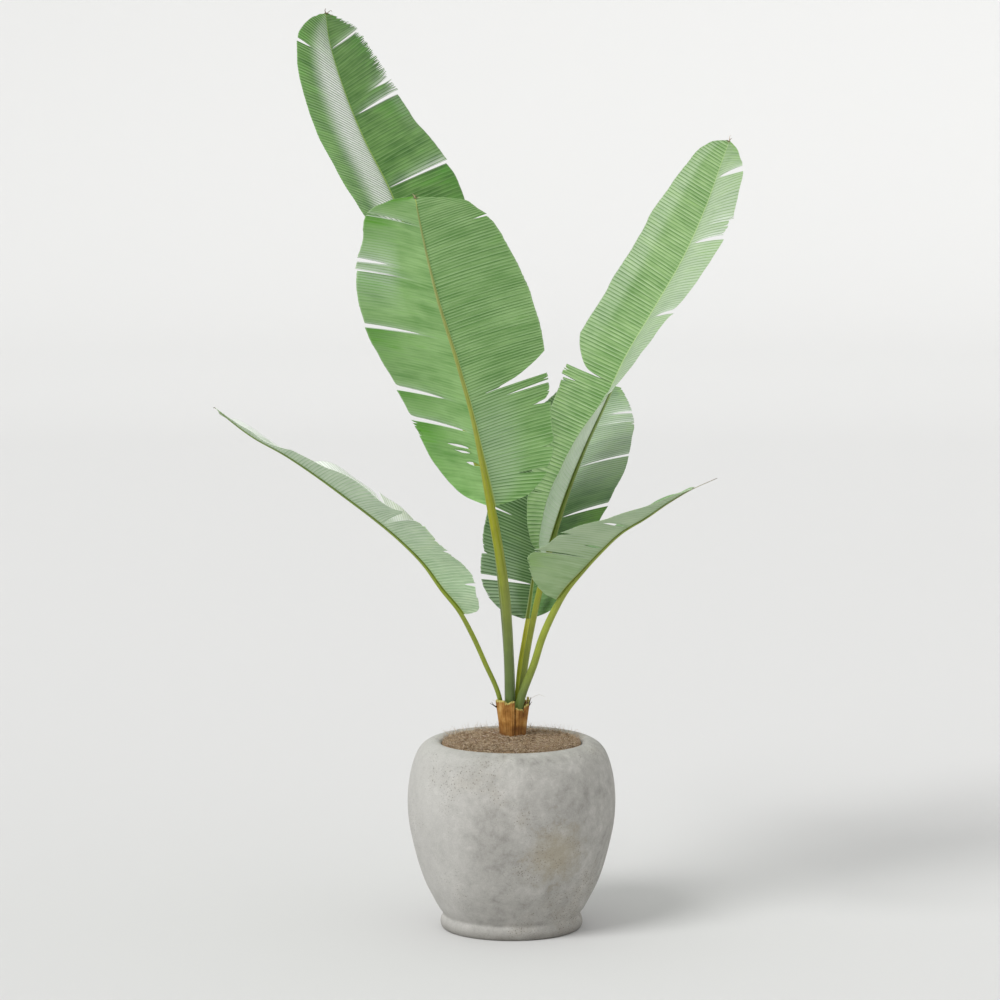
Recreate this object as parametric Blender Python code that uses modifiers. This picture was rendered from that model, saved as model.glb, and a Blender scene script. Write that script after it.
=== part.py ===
"""A tall foliage plant with six torn, banana-like leaves, in a rounded concrete pot.

Metres, +Z up. The origin is at the centre of the pot's foot, on the surface that it stands on.
+X is to the right and -Y towards the viewer, as the plant is usually looked at.
"""

import math
import random

import bmesh
import bpy
import numpy as np
from mathutils import Vector

GAP = 0.0003
TOUCH_MERGE = 0.00002
NEAR = 0.000001

# Pot, as (radius, height) down its outer side, then down its inner side.
POT_OUTSIDE = (
    (0.1500, 0.3630), (0.1640, 0.3580), (0.1765, 0.3465), (0.1860, 0.3270), (0.1940, 0.2970),
    (0.1985, 0.2600), (0.1975, 0.2150), (0.1920, 0.1820), (0.1850, 0.1510), (0.1765, 0.1200),
    (0.1655, 0.0890), (0.1500, 0.0580), (0.1400, 0.0400), (0.1325, 0.0290), (0.1315, 0.0250),
    (0.1345, 0.0190), (0.1362, 0.0120), (0.1350, 0.0040), (0.1310, 0.0000),
)
POT_OUTSIDE_ROWS = 26
POT_LIP = ((0.1420, 0.3620), (0.1365, 0.3590), (0.1340, 0.3530))
POT_INSIDE = (
    (0.1345, 0.3400), (0.1460, 0.3150), (0.1600, 0.2800), (0.1660, 0.2400), (0.1610, 0.1900),
    (0.1440, 0.1300), (0.1180, 0.0750), (0.1000, 0.0500),
)
POT_SIDES = 48

# Soil: it fills the pot up to just under the lip, and its top is a low dome.
SOIL_EDGE = (0.1340, 0.3480)
SOIL_TOP_HEIGHT = 0.3700
SOIL_TOP_RINGS = 5
SOIL_LUMP = 0.0012
STRAW_COUNT = 70
STRAW_LENGTH = (0.014, 0.030)
STRAW_RADIUS = 0.0008
STRAW_REACH = 0.118
STRAW_INNER = 0.27
STRAW_LEAN = (8, 62)
STRAW_ROOT = 0.0060
STRAW_SEED = 7
# How fast the mulch's lumps repeat along X, along Y and outwards, in radians a metre.
LUMP_RATES = (95.0, 110.0, 60.0)

# Stump: the woody bases of old leaf sheaths round a core, set in a plain hole in the soil.
STUMP_CENTRE = (0.0040, -0.0020)
STUMP_FOOT = 0.3000
STUMP_NECK = 0.3800
CORE_TOP = 0.4180
CORE_RADII = (0.0200, 0.0240)
CORE_SIDES = 24
SOCKET_POINTS = 4
HOLE_SPARE = 0.0200
SHEATH_RADII = (0.0230, 0.0305)
SHEATH_THICKNESS = 0.0055
SHEATH_FOOT = 0.3200
SHEATH_FLARED = 0.4370
SHEATH_GRID = (5, 4)
# Each sheath as (bearing in degrees, arc in degrees, top, slant of its cut end, how far it is set in).
SHEATHS = (
    (-108.0, 62.0, 0.4400, 0.003, 0.0000),
    (-48.0, 56.0, 0.4250, -0.008, 0.0011),
    (-4.0, 70.0, 0.4370, 0.008, 0.0002),
    (72.0, 92.0, 0.4300, -0.006, 0.0014),
    (146.0, 74.0, 0.4340, 0.006, 0.0005),
    (200.0, 60.0, 0.4390, 0.005, 0.0017),
)

# Blades: one pattern that all leaves share, with t from 0 at a blade's base to 1 at its tip.
BLADE_THICKNESS = 0.0010
BLADE_SPANS = 14
STALK_SPANS = 9
LEAST_SPAN = 0.35
ACROSS = (0.12, 0.38, 0.70, 1.0)
WIDTH_AT = (0, 0.02, 0.05, 0.10, 0.20, 0.35, 0.50, 0.65, 0.80, 0.90, 0.96, 0.985, 1)
WIDTH_SHARE = (0.06, 0.34, 0.55, 0.76, 0.92, 0.99, 1.0, 0.95, 0.80, 0.60, 0.38, 0.24, 0.03)
SWEEP_AT = (0, 0.1, 0.3, 0.6, 0.8, 0.9, 1)
SWEEP_SHARE = (-0.15, 0.0, 0.08, 0.15, 0.25, 0.35, 0.30)
ARCH = 0.10
WAVE_HEIGHT = 0.0035
WAVES = 11
CORNER = 0.03
# Each tear as (t, depth from the margin as a share, width at the margin, step, rounded corner).
SMOOTH_TEARS = (
    (0.250, 0.86, 0.005, 0.003, CORNER),
    (0.345, 0.70, 0.005, -0.003, CORNER),
    (0.520, 0.90, 0.006, 0.004, CORNER),
    (0.730, 0.75, 0.007, 0.003, CORNER),
    (0.765, 0.40, 0.007, -0.004, CORNER),
    (0.905, 0.80, 0.010, 0.004, CORNER),
)
RIBBED_TEARS = (
    (0.130, 0.50, 0.004, 0.002, CORNER),
    (0.335, 0.52, 0.005, 0.003, CORNER),
    (0.400, 0.62, 0.042, 0.007, 0.16),
    (0.930, 0.30, 0.006, 0.002, CORNER),
)

# Each leaf: the route of its stalk and midrib in millimetres, the share of that route where the
# blade starts and ends, half the blade's width, the stalk's radius at its foot and at the blade,
# the bearing of the ribbed half round the midrib at BEARING_AT, and the angle between the halves.
BEARING_AT = (0, 0.2, 0.5, 0.8, 1)
LEAVES = {
    "leaf_back": dict(
        route=((-4, 12, 385), (-5, 13, 437), (-7, 18, 515), (-16, 28, 630), (-39, 55, 798),
               (-87, 90, 949), (-168, 150, 1213), (-238, 210, 1402), (-289, 250, 1501),
               (-329, 290, 1598), (-358, 330, 1696), (-364, 350, 1741)),
        blade=(0.430, 1.0), width=0.175, radii=(0.0080, 0.0065),
        ribbed=(262, 260, 245, 238, 240), opening=(140, 146, 156, 170, 172)),
    "leaf_front": dict(
        route=((-3, -10, 385), (-3, -13, 442), (-5, -26, 521), (-12, -50, 640), (-39, -110, 821),
               (-57, -160, 921), (-74, -205, 1006), (-102, -270, 1115), (-134, -345, 1229),
               (-159, -425, 1345), (-172, -490, 1421)),
        blade=(0.386, 1.0), width=0.175, radii=(0.0095, 0.0075),
        ribbed=(0, 12, 2, -6, -15), opening=(138, 125, 150, 158, 168)),
    "leaf_upper_right": dict(
        route=((16, 5, 385), (18, 6, 438), (26, 12, 505), (45, 30, 605), (58, 40, 661),
               (85, 58, 759), (110, 75, 834), (143, 90, 916), (178, 105, 991), (220, 125, 1082),
               (274, 150, 1172), (333, 175, 1273), (378, 200, 1372), (409, 225, 1457),
               (423, 235, 1495)),
        blade=(0.275, 1.0), width=0.175, radii=(0.0062, 0.0055),
        ribbed=(118, 122, 128, 132, 128), opening=(137, 140, 154, 161, 167)),
    "leaf_behind": dict(
        route=((10, 17, 385), (12, 18, 436), (18, 32, 502), (26, 48, 548), (36, 78, 605),
               (44, 125, 657), (58, 180, 704), (78, 240, 755), (100, 295, 798), (127, 355, 851),
               (154, 410, 901), (181, 465, 949), (204, 515, 991)),
        blade=(0.250, 1.0), width=0.130, radii=(0.0055, 0.0048),
        ribbed=(175, 190, 200, 198, 195), opening=(152, 136, 126, 128, 135)),
    "leaf_low_right": dict(
        route=((15, -21, 385), (17, -21, 425), (21, -21, 447), (43, -31, 514), (58, -45, 564),
               (78, -65, 613), (101, -85, 658), (134, -110, 702), (166, -135, 741),
               (207, -165, 784), (247, -190, 812), (290, -220, 846), (331, -245, 874),
               (376, -270, 898)),
        blade=(0.392, 0.925), width=0.125, radii=(0.0085, 0.0050),
        ribbed=(85, 75, 58, 49, 45), opening=(110, 125, 148, 165, 173)),
    "leaf_low_left": dict(
        route=((-17, -1, 385), (-22, -2, 440), (-52, -8, 515), (-76, -18, 570), (-100, -30, 616),
               (-132, -45, 658), (-167, -60, 709), (-210, -80, 756), (-261, -100, 802),
               (-307, -120, 840), (-365, -140, 886), (-423, -160, 928), (-480, -180, 963),
               (-550, -200, 1020)),
        blade=(0.272, 1.0), width=0.150, radii=(0.0045, 0.0042),
        ribbed=(-50, -50, -47, -50, -65), opening=(145, 142, 157, 168, 173)),
}
TIP_RADIUS = 0.0012
STALK_END = 0.985


def clear_scene():
    for thing in list(bpy.data.objects):
        bpy.data.objects.remove(thing, do_unlink=True)


def make_collection(name, hidden=False):
    collection = bpy.data.collections.new(name)
    collection.hide_render = hidden
    bpy.context.scene.collection.children.link(collection)
    return collection


def make_material(name, colour, roughness):
    material = bpy.data.materials.new(name)
    material.use_nodes = True
    shader = material.node_tree.nodes["Principled BSDF"]
    shader.inputs["Base Color"].default_value = (*colour, 1.0)
    shader.inputs["Roughness"].default_value = roughness
    shader.inputs["Metallic"].default_value = 0.0
    material.diffuse_color = (*colour, 1.0)
    return material


def spline(x, knots, values):
    """A smooth curve through (knot, value) rows, read at every x."""
    knots = np.asarray(knots, float)
    values = np.asarray(values, float)
    slopes = np.gradient(values, knots, axis=0)
    x = np.atleast_1d(np.asarray(x, float))
    left = np.clip(np.searchsorted(knots, x, side="right") - 1, 0, len(knots) - 2)
    span = knots[left + 1] - knots[left]
    u = np.clip((x - knots[left]) / span, 0, 1)
    if values.ndim > 1:
        span, u = span[:, None], u[:, None]
    start = (1 + 2 * u) * (1 - u) ** 2 * values[left] + u * (1 - u) ** 2 * span * slopes[left]
    end = u * u * (3 - 2 * u) * values[left + 1] + u * u * (u - 1) * span * slopes[left + 1]
    return start + end


def smooth_route(points, samples=2000):
    """The smooth curve through points, and how far along it each sample lies, from 0 to 1."""
    points = np.asarray(points, float)
    steps = np.linalg.norm(np.diff(points, axis=0), axis=1)
    knots = np.concatenate([[0.0], np.cumsum(steps)])
    curve = spline(np.linspace(0, knots[-1], samples), knots, points)
    lengths = np.linalg.norm(np.diff(curve, axis=0), axis=1)
    along = np.concatenate([[0.0], np.cumsum(lengths)])
    return curve, along / along[-1]


def read_route(curve, along, shares):
    return np.stack([np.interp(shares, along, curve[:, axis]) for axis in range(3)], axis=1)


def unit(vectors):
    return vectors / np.linalg.norm(vectors, axis=-1, keepdims=True)


def new_object(name, mesh, collection, material=None):
    thing = bpy.data.objects.new(name, mesh)
    if material is not None:
        mesh.materials.append(material)
    collection.objects.link(thing)
    return thing


def mesh_from(builder, name):
    mesh = bpy.data.meshes.new(name)
    builder.to_mesh(mesh)
    builder.free()
    return mesh


def evaluated_mesh(thing):
    """The object's final mesh as a mesh of its own."""
    graph = bpy.context.evaluated_depsgraph_get()
    return bpy.data.meshes.new_from_object(thing.evaluated_get(graph))


def turned(name, profile, collection, material):
    """A shape turned round Z from a profile that starts and may end on the axis."""
    mesh = bpy.data.meshes.new(name)
    points = [(radius, 0.0, height) for radius, height in profile]
    mesh.from_pydata(points, [(i, i + 1) for i in range(len(points) - 1)], [])
    thing = new_object(name, mesh, collection, material)
    screw = thing.modifiers.new("turn", "SCREW")
    screw.steps = POT_SIDES
    screw.render_steps = POT_SIDES
    screw.use_merge_vertices = True
    screw.merge_threshold = TOUCH_MERGE
    screw.use_smooth_shade = True
    return thing


def boolean(thing, operation, others, solver="EXACT"):
    """Joins or cuts a collection's objects with this one and applies the result."""
    cut = thing.modifiers.new(operation.lower(), "BOOLEAN")
    cut.operation = operation
    cut.operand_type = "COLLECTION"
    cut.collection = others
    cut.solver = solver
    mesh = evaluated_mesh(thing)
    thing.modifiers.remove(cut)
    old = thing.data
    thing.data = mesh
    bpy.data.meshes.remove(old)
    for other in list(others.objects):
        bpy.data.objects.remove(other, do_unlink=True)


def drop_scraps(thing):
    """Keeps only the body with the most points, so that no loose sliver of a cut is left."""
    builder = bmesh.new()
    builder.from_mesh(thing.data)
    left, bodies = set(builder.verts), []
    while left:
        body, edge = set(), [left.pop()]
        while edge:
            point = edge.pop()
            body.add(point)
            near = {link.other_vert(point) for link in point.link_edges} & left
            left -= near
            edge.extend(near)
        bodies.append(body)
    bodies.sort(key=len)
    scraps = [point for body in bodies[:-1] for point in body]
    bmesh.ops.delete(builder, geom=scraps, context="VERTS")
    builder.to_mesh(thing.data)
    builder.free()


def pot(collection):
    concrete = make_material("cast concrete", (0.36, 0.36, 0.34), 0.85)
    heights = np.linspace(0, 1, len(POT_OUTSIDE))
    outside = spline(np.linspace(0, 1, POT_OUTSIDE_ROWS), heights, POT_OUTSIDE)
    # The profile runs from the floor inside, up the inner wall, over the lip and down outside.
    inside_up = list(reversed(POT_LIP + POT_INSIDE))
    profile = [(0.0, POT_INSIDE[-1][1]), *inside_up, *map(tuple, outside), (0.0, 0.0)]
    return turned("pot", profile, collection, concrete)


def soil(collection, helpers):
    fibre = make_material("dry fibre mulch", (0.30, 0.21, 0.13), 0.95)
    reach = np.linspace(0, 1, SOIL_TOP_RINGS + 1)[1:-1]
    edge, low = SOIL_EDGE
    dome = [(edge * share, low + (SOIL_TOP_HEIGHT - low) * (1 - share**2)) for share in reach]
    wall = [(radius - GAP, height) for radius, height in POT_INSIDE]
    wall[-1] = (wall[-1][0], POT_INSIDE[-1][1] + GAP)
    profile = [(0.0, SOIL_TOP_HEIGHT), *dome, (edge - GAP, low), *wall, (0.0, wall[-1][1])]
    body = turned("soil", profile, collection, fibre)
    lump_top(body)

    straws = make_collection("straws", hidden=True)
    draw = random.Random(STRAW_SEED)
    for index in range(STRAW_COUNT):
        add_straw(straws, index, draw)
    boolean(body, "UNION", straws, "MANIFOLD")
    hole = bmesh.new()
    depth = SOIL_TOP_HEIGHT + HOLE_SPARE - (STUMP_FOOT - GAP)
    bmesh.ops.create_cone(hole, cap_ends=True, segments=POT_SIDES, depth=depth,
                          radius1=SHEATH_RADII[0] + 2 * GAP, radius2=SHEATH_RADII[0] + 2 * GAP)
    lift = Vector((*STUMP_CENTRE, STUMP_FOOT - GAP + depth / 2))
    bmesh.ops.translate(hole, verts=hole.verts, vec=lift)
    new_object("stump_hole", mesh_from(hole, "stump_hole"), helpers)
    boolean(body, "DIFFERENCE", helpers, "MANIFOLD")
    bpy.data.collections.remove(straws)
    return body


def lump_top(body):
    """Raises and lowers the soil's top by a formula, so that the mulch isn't flat."""
    mesh = evaluated_mesh(body)
    body.modifiers.clear()
    body.data = mesh
    along, aside, outward = LUMP_RATES
    for point in mesh.vertices:
        x, y, z = point.co
        radius = math.hypot(x, y)
        if z > SOIL_EDGE[1] + GAP and radius < SOIL_EDGE[0] * 0.95:
            lumps = math.sin(along * x + 2) * math.cos(aside * y) + math.sin(outward * radius)
            point.co.z += SOIL_LUMP * lumps


def add_straw(collection, index, draw):
    """One stiff fibre of the mulch, rooted in the soil."""
    bearing = draw.uniform(0, 2 * math.pi)
    radius = STRAW_REACH * math.sqrt(draw.uniform(STRAW_INNER, 1.0))
    length = draw.uniform(*STRAW_LENGTH)
    tilt = math.radians(draw.uniform(*STRAW_LEAN))
    turn = draw.uniform(0, 2 * math.pi)
    height = SOIL_EDGE[1] + (SOIL_TOP_HEIGHT - SOIL_EDGE[1]) * (1 - (radius / SOIL_EDGE[0]) ** 2)
    straw = bmesh.new()
    bmesh.ops.create_cone(straw, cap_ends=True, segments=3, depth=length,
                          radius1=STRAW_RADIUS, radius2=STRAW_RADIUS * 0.4)
    lean = Vector((math.sin(tilt) * math.cos(turn), math.sin(tilt) * math.sin(turn), math.cos(tilt)))
    aim = lean.to_track_quat("Z", "Y").to_matrix()
    bmesh.ops.rotate(straw, verts=straw.verts, matrix=aim)
    foot = Vector((radius * math.cos(bearing), radius * math.sin(bearing), height - STRAW_ROOT))
    bmesh.ops.translate(straw, verts=straw.verts, vec=foot + lean * length / 2)
    new_object(f"straw_{index}", mesh_from(straw, f"straw_{index}"), collection)


def sheath(bearing, arc, top, slant, inset, collection):
    """One old sheath's base: a curved plate that flares upwards and has a slanted, cut end."""
    columns, rows = SHEATH_GRID
    foot = SHEATH_FOOT + 3 * inset
    plate = bmesh.new()
    bmesh.ops.create_grid(plate, x_segments=columns, y_segments=rows, size=1.0)
    for point in plate.verts:
        across, up = point.co.x, (point.co.y + 1) / 2
        height = foot + (top + slant * across - foot) * up
        flare = np.clip((height - STUMP_NECK) / (SHEATH_FLARED - STUMP_NECK), 0, 1.05)
        radius = SHEATH_RADII[0] + (SHEATH_RADII[1] - SHEATH_RADII[0]) * flare - inset
        angle = math.radians(bearing + across * arc / 2)
        point.co = (STUMP_CENTRE[0] + radius * math.cos(angle),
                    STUMP_CENTRE[1] + radius * math.sin(angle), height)
    bmesh.ops.triangulate(plate, faces=plate.faces)
    thing = new_object(f"sheath_{bearing:.0f}", mesh_from(plate, "sheath"), collection)
    shell = thing.modifiers.new("thickness", "SOLIDIFY")
    shell.thickness = SHEATH_THICKNESS
    shell.offset = -1.0
    return thing


def stump(collection, helpers, sockets):
    bark = make_material("dry leaf sheath", (0.33, 0.17, 0.05), 0.8)
    core = bmesh.new()
    depth = CORE_TOP - STUMP_FOOT
    bmesh.ops.create_cone(core, cap_ends=True, segments=CORE_SIDES, depth=depth,
                          radius1=CORE_RADII[0], radius2=CORE_RADII[1])
    lift = Vector((*STUMP_CENTRE, STUMP_FOOT + depth / 2))
    bmesh.ops.translate(core, verts=core.verts, vec=lift)
    body = new_object("stump", mesh_from(core, "stump"), collection, bark)
    for row in SHEATHS:
        sheath(*row, helpers)
    boolean(body, "UNION", helpers, "MANIFOLD")
    boolean(body, "DIFFERENCE", sockets, "MANIFOLD")
    drop_scraps(body)
    return body


def blade_stations():
    """Where a blade is divided along its midrib: evenly, and at each tear."""
    torn = [tear[0] for tear in SMOOTH_TEARS + RIBBED_TEARS]
    even = [i / BLADE_SPANS for i in range(BLADE_SPANS + 1)]
    near = LEAST_SPAN / BLADE_SPANS
    return sorted([t for t in even if min(abs(t - place) for place in torn) > near] + torn)


class Leaf:
    """The stations of one leaf's stalk and blade, worked out from its route."""

    def __init__(self, route, blade, width, radii, ribbed, opening):
        curve, along = smooth_route(np.array(route) / 1000)
        self.start, self.end = blade
        self.width = width
        self.radii = radii
        self.ribbed = ribbed
        self.opening = opening
        blade_shares = self.start + np.array(blade_stations()) * (self.end - self.start)
        stalk_shares = np.linspace(0, self.start, STALK_SPANS + 1)[:-1]
        shares = np.concatenate([stalk_shares, blade_shares, [1.0]])
        if self.end == 1.0:
            shares = shares[:-1]
        self.shares = shares
        self.points = read_route(curve, along, shares)
        self.ahead = unit(np.gradient(curve, axis=0))
        self.along = along

    def radius(self, share):
        foot, joint = self.radii
        return np.interp(share, [0, self.start, self.end], [foot, joint, TIP_RADIUS])

    def frame(self, t):
        """Where the midrib is at t, which way it runs, and two directions across it."""
        share = self.start + t * (self.end - self.start)
        place = np.array([np.interp(share, self.shares, self.points[:, axis]) for axis in range(3)])
        ahead = unit(np.array([np.interp(share, self.along, self.ahead[:, axis]) for axis in range(3)]))
        right = unit(np.array([1.0, 0, 0]) - ahead[0] * ahead)
        return share, place, ahead, right, np.cross(ahead, right)

    def surface(self, t, across, lip, tear):
        """The underside of the blade at t, with across from -1, ribbed margin, to 1, smooth margin."""
        share, place, ahead, right, back = self.frame(t)
        ribbed = math.radians(spline(t, BEARING_AT, self.ribbed)[0])
        opening = math.radians(spline(t, BEARING_AT, self.opening)[0])
        middle = ribbed + opening / 2
        up = math.cos(middle) * right + math.sin(middle) * back
        bearing = ribbed + (opening if across > 0 else 0)
        out = math.cos(bearing) * right + math.sin(bearing) * back
        width = self.width * spline(t, WIDTH_AT, WIDTH_SHARE)[0]
        sweep = spline(t, SWEEP_AT, SWEEP_SHARE)[0]
        reach = abs(across)
        shift = np.zeros(3)
        if tear:
            _, depth, gap, step, corner = tear
            ramp = max(0.0, (reach - (1 - depth)) / depth)
            shift = lip * ahead * gap / 2 * ramp + lip * up * step * ramp
            if lip > 0 or corner == CORNER:
                reach *= 1 - corner * ramp**2
        wave = WAVE_HEIGHT * reach**2 * math.sin(2 * math.pi * WAVES * t + math.copysign(1, across))
        height = ARCH * width * reach * (1 - reach) + wave * min(1, 8 * t * (1 - t))
        lift = self.radius(share) + GAP
        return place + out * width * reach + ahead * sweep * width * reach + up * (lift + height) + shift


def stalk_curve(name, leaf, collection, material, extra=0.0):
    """The stalk and midrib as a tapered tube. With extra it is the cutter of its own socket."""
    # It stops just inside the blade's tip. Where the blade ends early, a bare, dried tip runs on.
    keep = leaf.shares <= (STALK_END if leaf.end == 1.0 else 1.0)
    points, shares = leaf.points[keep].copy(), leaf.shares[keep]
    if extra:
        points, shares = points[:SOCKET_POINTS], shares[:SOCKET_POINTS]
        points[0] -= unit(points[1] - points[0]) * extra
    data = bpy.data.curves.new(name, "CURVE")
    data.dimensions = "3D"
    data.bevel_depth = 1.0
    data.bevel_resolution = 2
    data.use_fill_caps = True
    line = data.splines.new("POLY")
    line.points.add(len(points) - 1)
    for point, place, share in zip(line.points, points, shares):
        point.co = (*place, 1.0)
        point.radius = float(leaf.radius(share)) + extra
    return new_object(name, data, collection, material)


def as_mesh(thing, collection):
    """A curve made into a welded mesh object of the same name, in place of the curve."""
    name, place = thing.name, thing.matrix_world.copy()
    builder = bmesh.new()
    builder.from_mesh(evaluated_mesh(thing))
    bmesh.ops.remove_doubles(builder, verts=builder.verts, dist=TOUCH_MERGE)
    bpy.data.objects.remove(thing, do_unlink=True)
    solid = new_object(name, mesh_from(builder, name), collection)
    solid.matrix_world = place
    return solid


def blade(name, leaf, collection, material):
    """The blade: a grid, cut open along its tears, laid on the leaf's surface and thickened."""
    tears = {tear[0]: (tear, 1) for tear in SMOOTH_TEARS}
    tears.update({tear[0]: (tear, -1) for tear in RIBBED_TEARS})
    stations = blade_stations()
    spans = len(stations) - 1
    columns = 2 * len(ACROSS)
    grid = bmesh.new()
    bmesh.ops.create_grid(grid, x_segments=spans, y_segments=columns, size=1.0)

    def station(x):
        return (x + 1) / 2 * spans

    def across(y):
        column = round((y + 1) / 2 * columns) - len(ACROSS)
        return math.copysign(ACROSS[abs(column) - 1], column) if column else 0.0

    def torn_here(x, y):
        """The tear that passes through this point of the flat grid, if any."""
        tear, side = tears.get(stations[round(station(x))], (None, 0))
        share = across(y) * side
        return tear if tear and share > 1 - tear[1] + NEAR else None

    split = []
    for edge in grid.edges:
        (x0, y0, _), (x1, y1, _) = edge.verts[0].co, edge.verts[1].co
        if abs(x0 - x1) > NEAR:
            continue
        outer = y0 if abs(y0) > abs(y1) else y1
        if torn_here(x0, outer):
            split.append(edge)
    bmesh.ops.split_edges(grid, edges=split)
    bmesh.ops.triangulate(grid, faces=grid.faces)
    places = []
    for point in grid.verts:
        x, y, _ = point.co
        index = round(station(x))
        sides = [math.copysign(1, face.calc_center_median().x - x) for face in point.link_faces]
        lip = sides[0] if len(set(sides)) == 1 else 0
        tear = torn_here(x, y) if lip else None
        places.append(leaf.surface(stations[index], across(y), lip, tear))
    for point, place in zip(grid.verts, places):
        point.co = place
    thing = new_object(name, mesh_from(grid, name), collection, material)
    shell = thing.modifiers.new("thickness", "SOLIDIFY")
    shell.thickness = BLADE_THICKNESS
    shell.offset = -1.0
    return thing


def main():
    clear_scene()
    plant = make_collection("potted_banana_plant")
    helpers = make_collection("cutters", hidden=True)
    stem = make_material("green leaf stalk", (0.30, 0.34, 0.03), 0.45)
    green = make_material("leaf blade", (0.10, 0.24, 0.06), 0.4)
    leaves = {name: Leaf(**row) for name, row in LEAVES.items()}
    sockets = make_collection("sockets", hidden=True)
    for name, leaf in leaves.items():
        as_mesh(stalk_curve(f"{name}_socket", leaf, helpers, stem, extra=GAP), sockets)
    pot(plant)
    soil(plant, helpers)
    stump(plant, helpers, sockets)
    for name, leaf in leaves.items():
        stalk_curve(f"{name}_stalk", leaf, plant, stem)
        blade(f"{name}_blade", leaf, plant, green)


main()
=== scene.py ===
# %% [markdown]
# # A tall foliage plant in a concrete pot
#
# The plant has six big paddle leaves on long, channelled stalks, in a rounded pot of cast
# concrete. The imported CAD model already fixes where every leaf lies. It could be dressed with
# materials alone, but a real leaf is pleated, torn and far thinner than a CAD solid. So this
# script keeps the CAD's places and builds finer surfaces over them: pleated blades, grooved
# stalks, a fibrous stump, loose mulch and a slightly uneven pot.

# %% Load the CAD frame
import math
import random

import bmesh
import bpy
import numpy as np
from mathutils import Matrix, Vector


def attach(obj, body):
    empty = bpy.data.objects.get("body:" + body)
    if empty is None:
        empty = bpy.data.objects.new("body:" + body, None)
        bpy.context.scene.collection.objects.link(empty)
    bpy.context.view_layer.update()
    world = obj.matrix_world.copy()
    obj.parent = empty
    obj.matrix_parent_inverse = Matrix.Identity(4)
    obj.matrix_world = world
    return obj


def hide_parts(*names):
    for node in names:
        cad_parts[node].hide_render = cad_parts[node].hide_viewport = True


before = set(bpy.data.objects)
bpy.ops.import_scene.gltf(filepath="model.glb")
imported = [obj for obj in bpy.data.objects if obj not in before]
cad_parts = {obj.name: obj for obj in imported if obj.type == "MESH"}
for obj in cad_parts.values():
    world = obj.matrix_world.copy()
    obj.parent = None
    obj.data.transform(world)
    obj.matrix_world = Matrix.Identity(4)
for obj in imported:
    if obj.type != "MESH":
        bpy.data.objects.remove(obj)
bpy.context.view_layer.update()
print("nodes:", sorted(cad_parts))

# %% [markdown]
# ## Helpers
#
# Colours are read off as sRGB hex, the way a painter's chart gives them, but a shader works in
# linear light. One function turns one into the other. A second function adds a shader node with
# its settings and its links, so that a material reads as a list of steps.

# %% Colours and nodes
def linear(hex_colour):
    """An sRGB hex colour as the linear red, green, blue and alpha that a shader takes."""
    channels = [int(hex_colour[place:place + 2], 16) / 255 for place in (1, 3, 5)]
    return (*[c / 12.92 if c <= 0.04045 else ((c + 0.055) / 1.055) ** 2.4 for c in channels], 1.0)


def add(tree, kind, sockets=None, stops=None, **settings):
    """Adds a shader node. A socket takes a number, a hex colour or another node's output."""
    node = tree.nodes.new("ShaderNode" + kind)
    for name, value in settings.items():
        setattr(node, name, value)
    for name, value in (sockets or {}).items():
        if isinstance(value, bpy.types.NodeSocket):
            tree.links.new(value, node.inputs[name])
        else:
            node.inputs[name].default_value = linear(value) if isinstance(value, str) else value
    if stops:
        ramp = node.color_ramp.elements
        while len(ramp) < len(stops):
            ramp.new(0.5)
        for element, (place, colour) in zip(ramp, stops):
            element.position = place
            element.color = linear(colour)
    return node


def new_material(name):
    """An empty material: its node tree and its shader."""
    material = bpy.data.materials.new(name)
    material.use_nodes = True
    return material, material.node_tree, material.node_tree.nodes["Principled BSDF"]


def join(tree, shader, **outputs):
    """Links outputs to the shader's sockets of the same names, with _ for a space."""
    for name, output in outputs.items():
        tree.links.new(output, shader.inputs[name.replace("_", " ")])


# %% Meshes from arrays
def new_piece(name, points, faces, materials, smooth=True):
    """A mesh object from points and faces, already in the frame's place."""
    mesh = bpy.data.meshes.new(name)
    mesh.from_pydata([tuple(point) for point in points], [], [tuple(face) for face in faces])
    mesh.update()
    if smooth:
        mesh.shade_smooth()
    for material in materials:
        mesh.materials.append(material)
    piece = bpy.data.objects.new(name, mesh)
    bpy.context.scene.collection.objects.link(piece)
    print(name, len(mesh.vertices), "points", len(mesh.polygons), "faces")
    return piece


def set_values(piece, name, values):
    """Keeps three numbers for each point of a mesh, for the material to read by name."""
    attribute = piece.data.attributes.new(name, "FLOAT_VECTOR", "POINT")
    attribute.data.foreach_set("vector", np.asarray(values, np.float32).ravel())


def unit(vectors):
    return vectors / np.linalg.norm(vectors, axis=-1, keepdims=True)


def spline(x, knots, values):
    """A smooth curve through (knot, value) rows, read at every x."""
    knots = np.asarray(knots, float)
    values = np.asarray(values, float)
    slopes = np.gradient(values, knots, axis=0)
    x = np.atleast_1d(np.asarray(x, float))
    left = np.clip(np.searchsorted(knots, x, side="right") - 1, 0, len(knots) - 2)
    span = knots[left + 1] - knots[left]
    u = np.clip((x - knots[left]) / span, 0, 1)
    if values.ndim > 1:
        span, u = span[:, None], u[:, None]
    start = (1 + 2 * u) * (1 - u) ** 2 * values[left] + u * (1 - u) ** 2 * span * slopes[left]
    end = u * u * (3 - 2 * u) * values[left + 1] + u * u * (u - 1) * span * slopes[left + 1]
    return start + end


def ramp_up(x, low, high):
    """0 below low, 1 above high, and smooth between."""
    u = np.clip((x - low) / (high - low), 0, 1)
    return u * u * (3 - 2 * u)


def bump_row(x, seed, period):
    """Smooth random ups and downs between -1 and 1 along a line."""
    draw = np.random.default_rng(seed)
    values = draw.uniform(-1, 1, 4096)
    place = np.asarray(x, float) / period + 2048
    left = np.floor(place).astype(int) % 4095
    u = place - np.floor(place)
    u = u * u * (3 - 2 * u)
    return values[left] * (1 - u) + values[left + 1] * u


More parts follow.
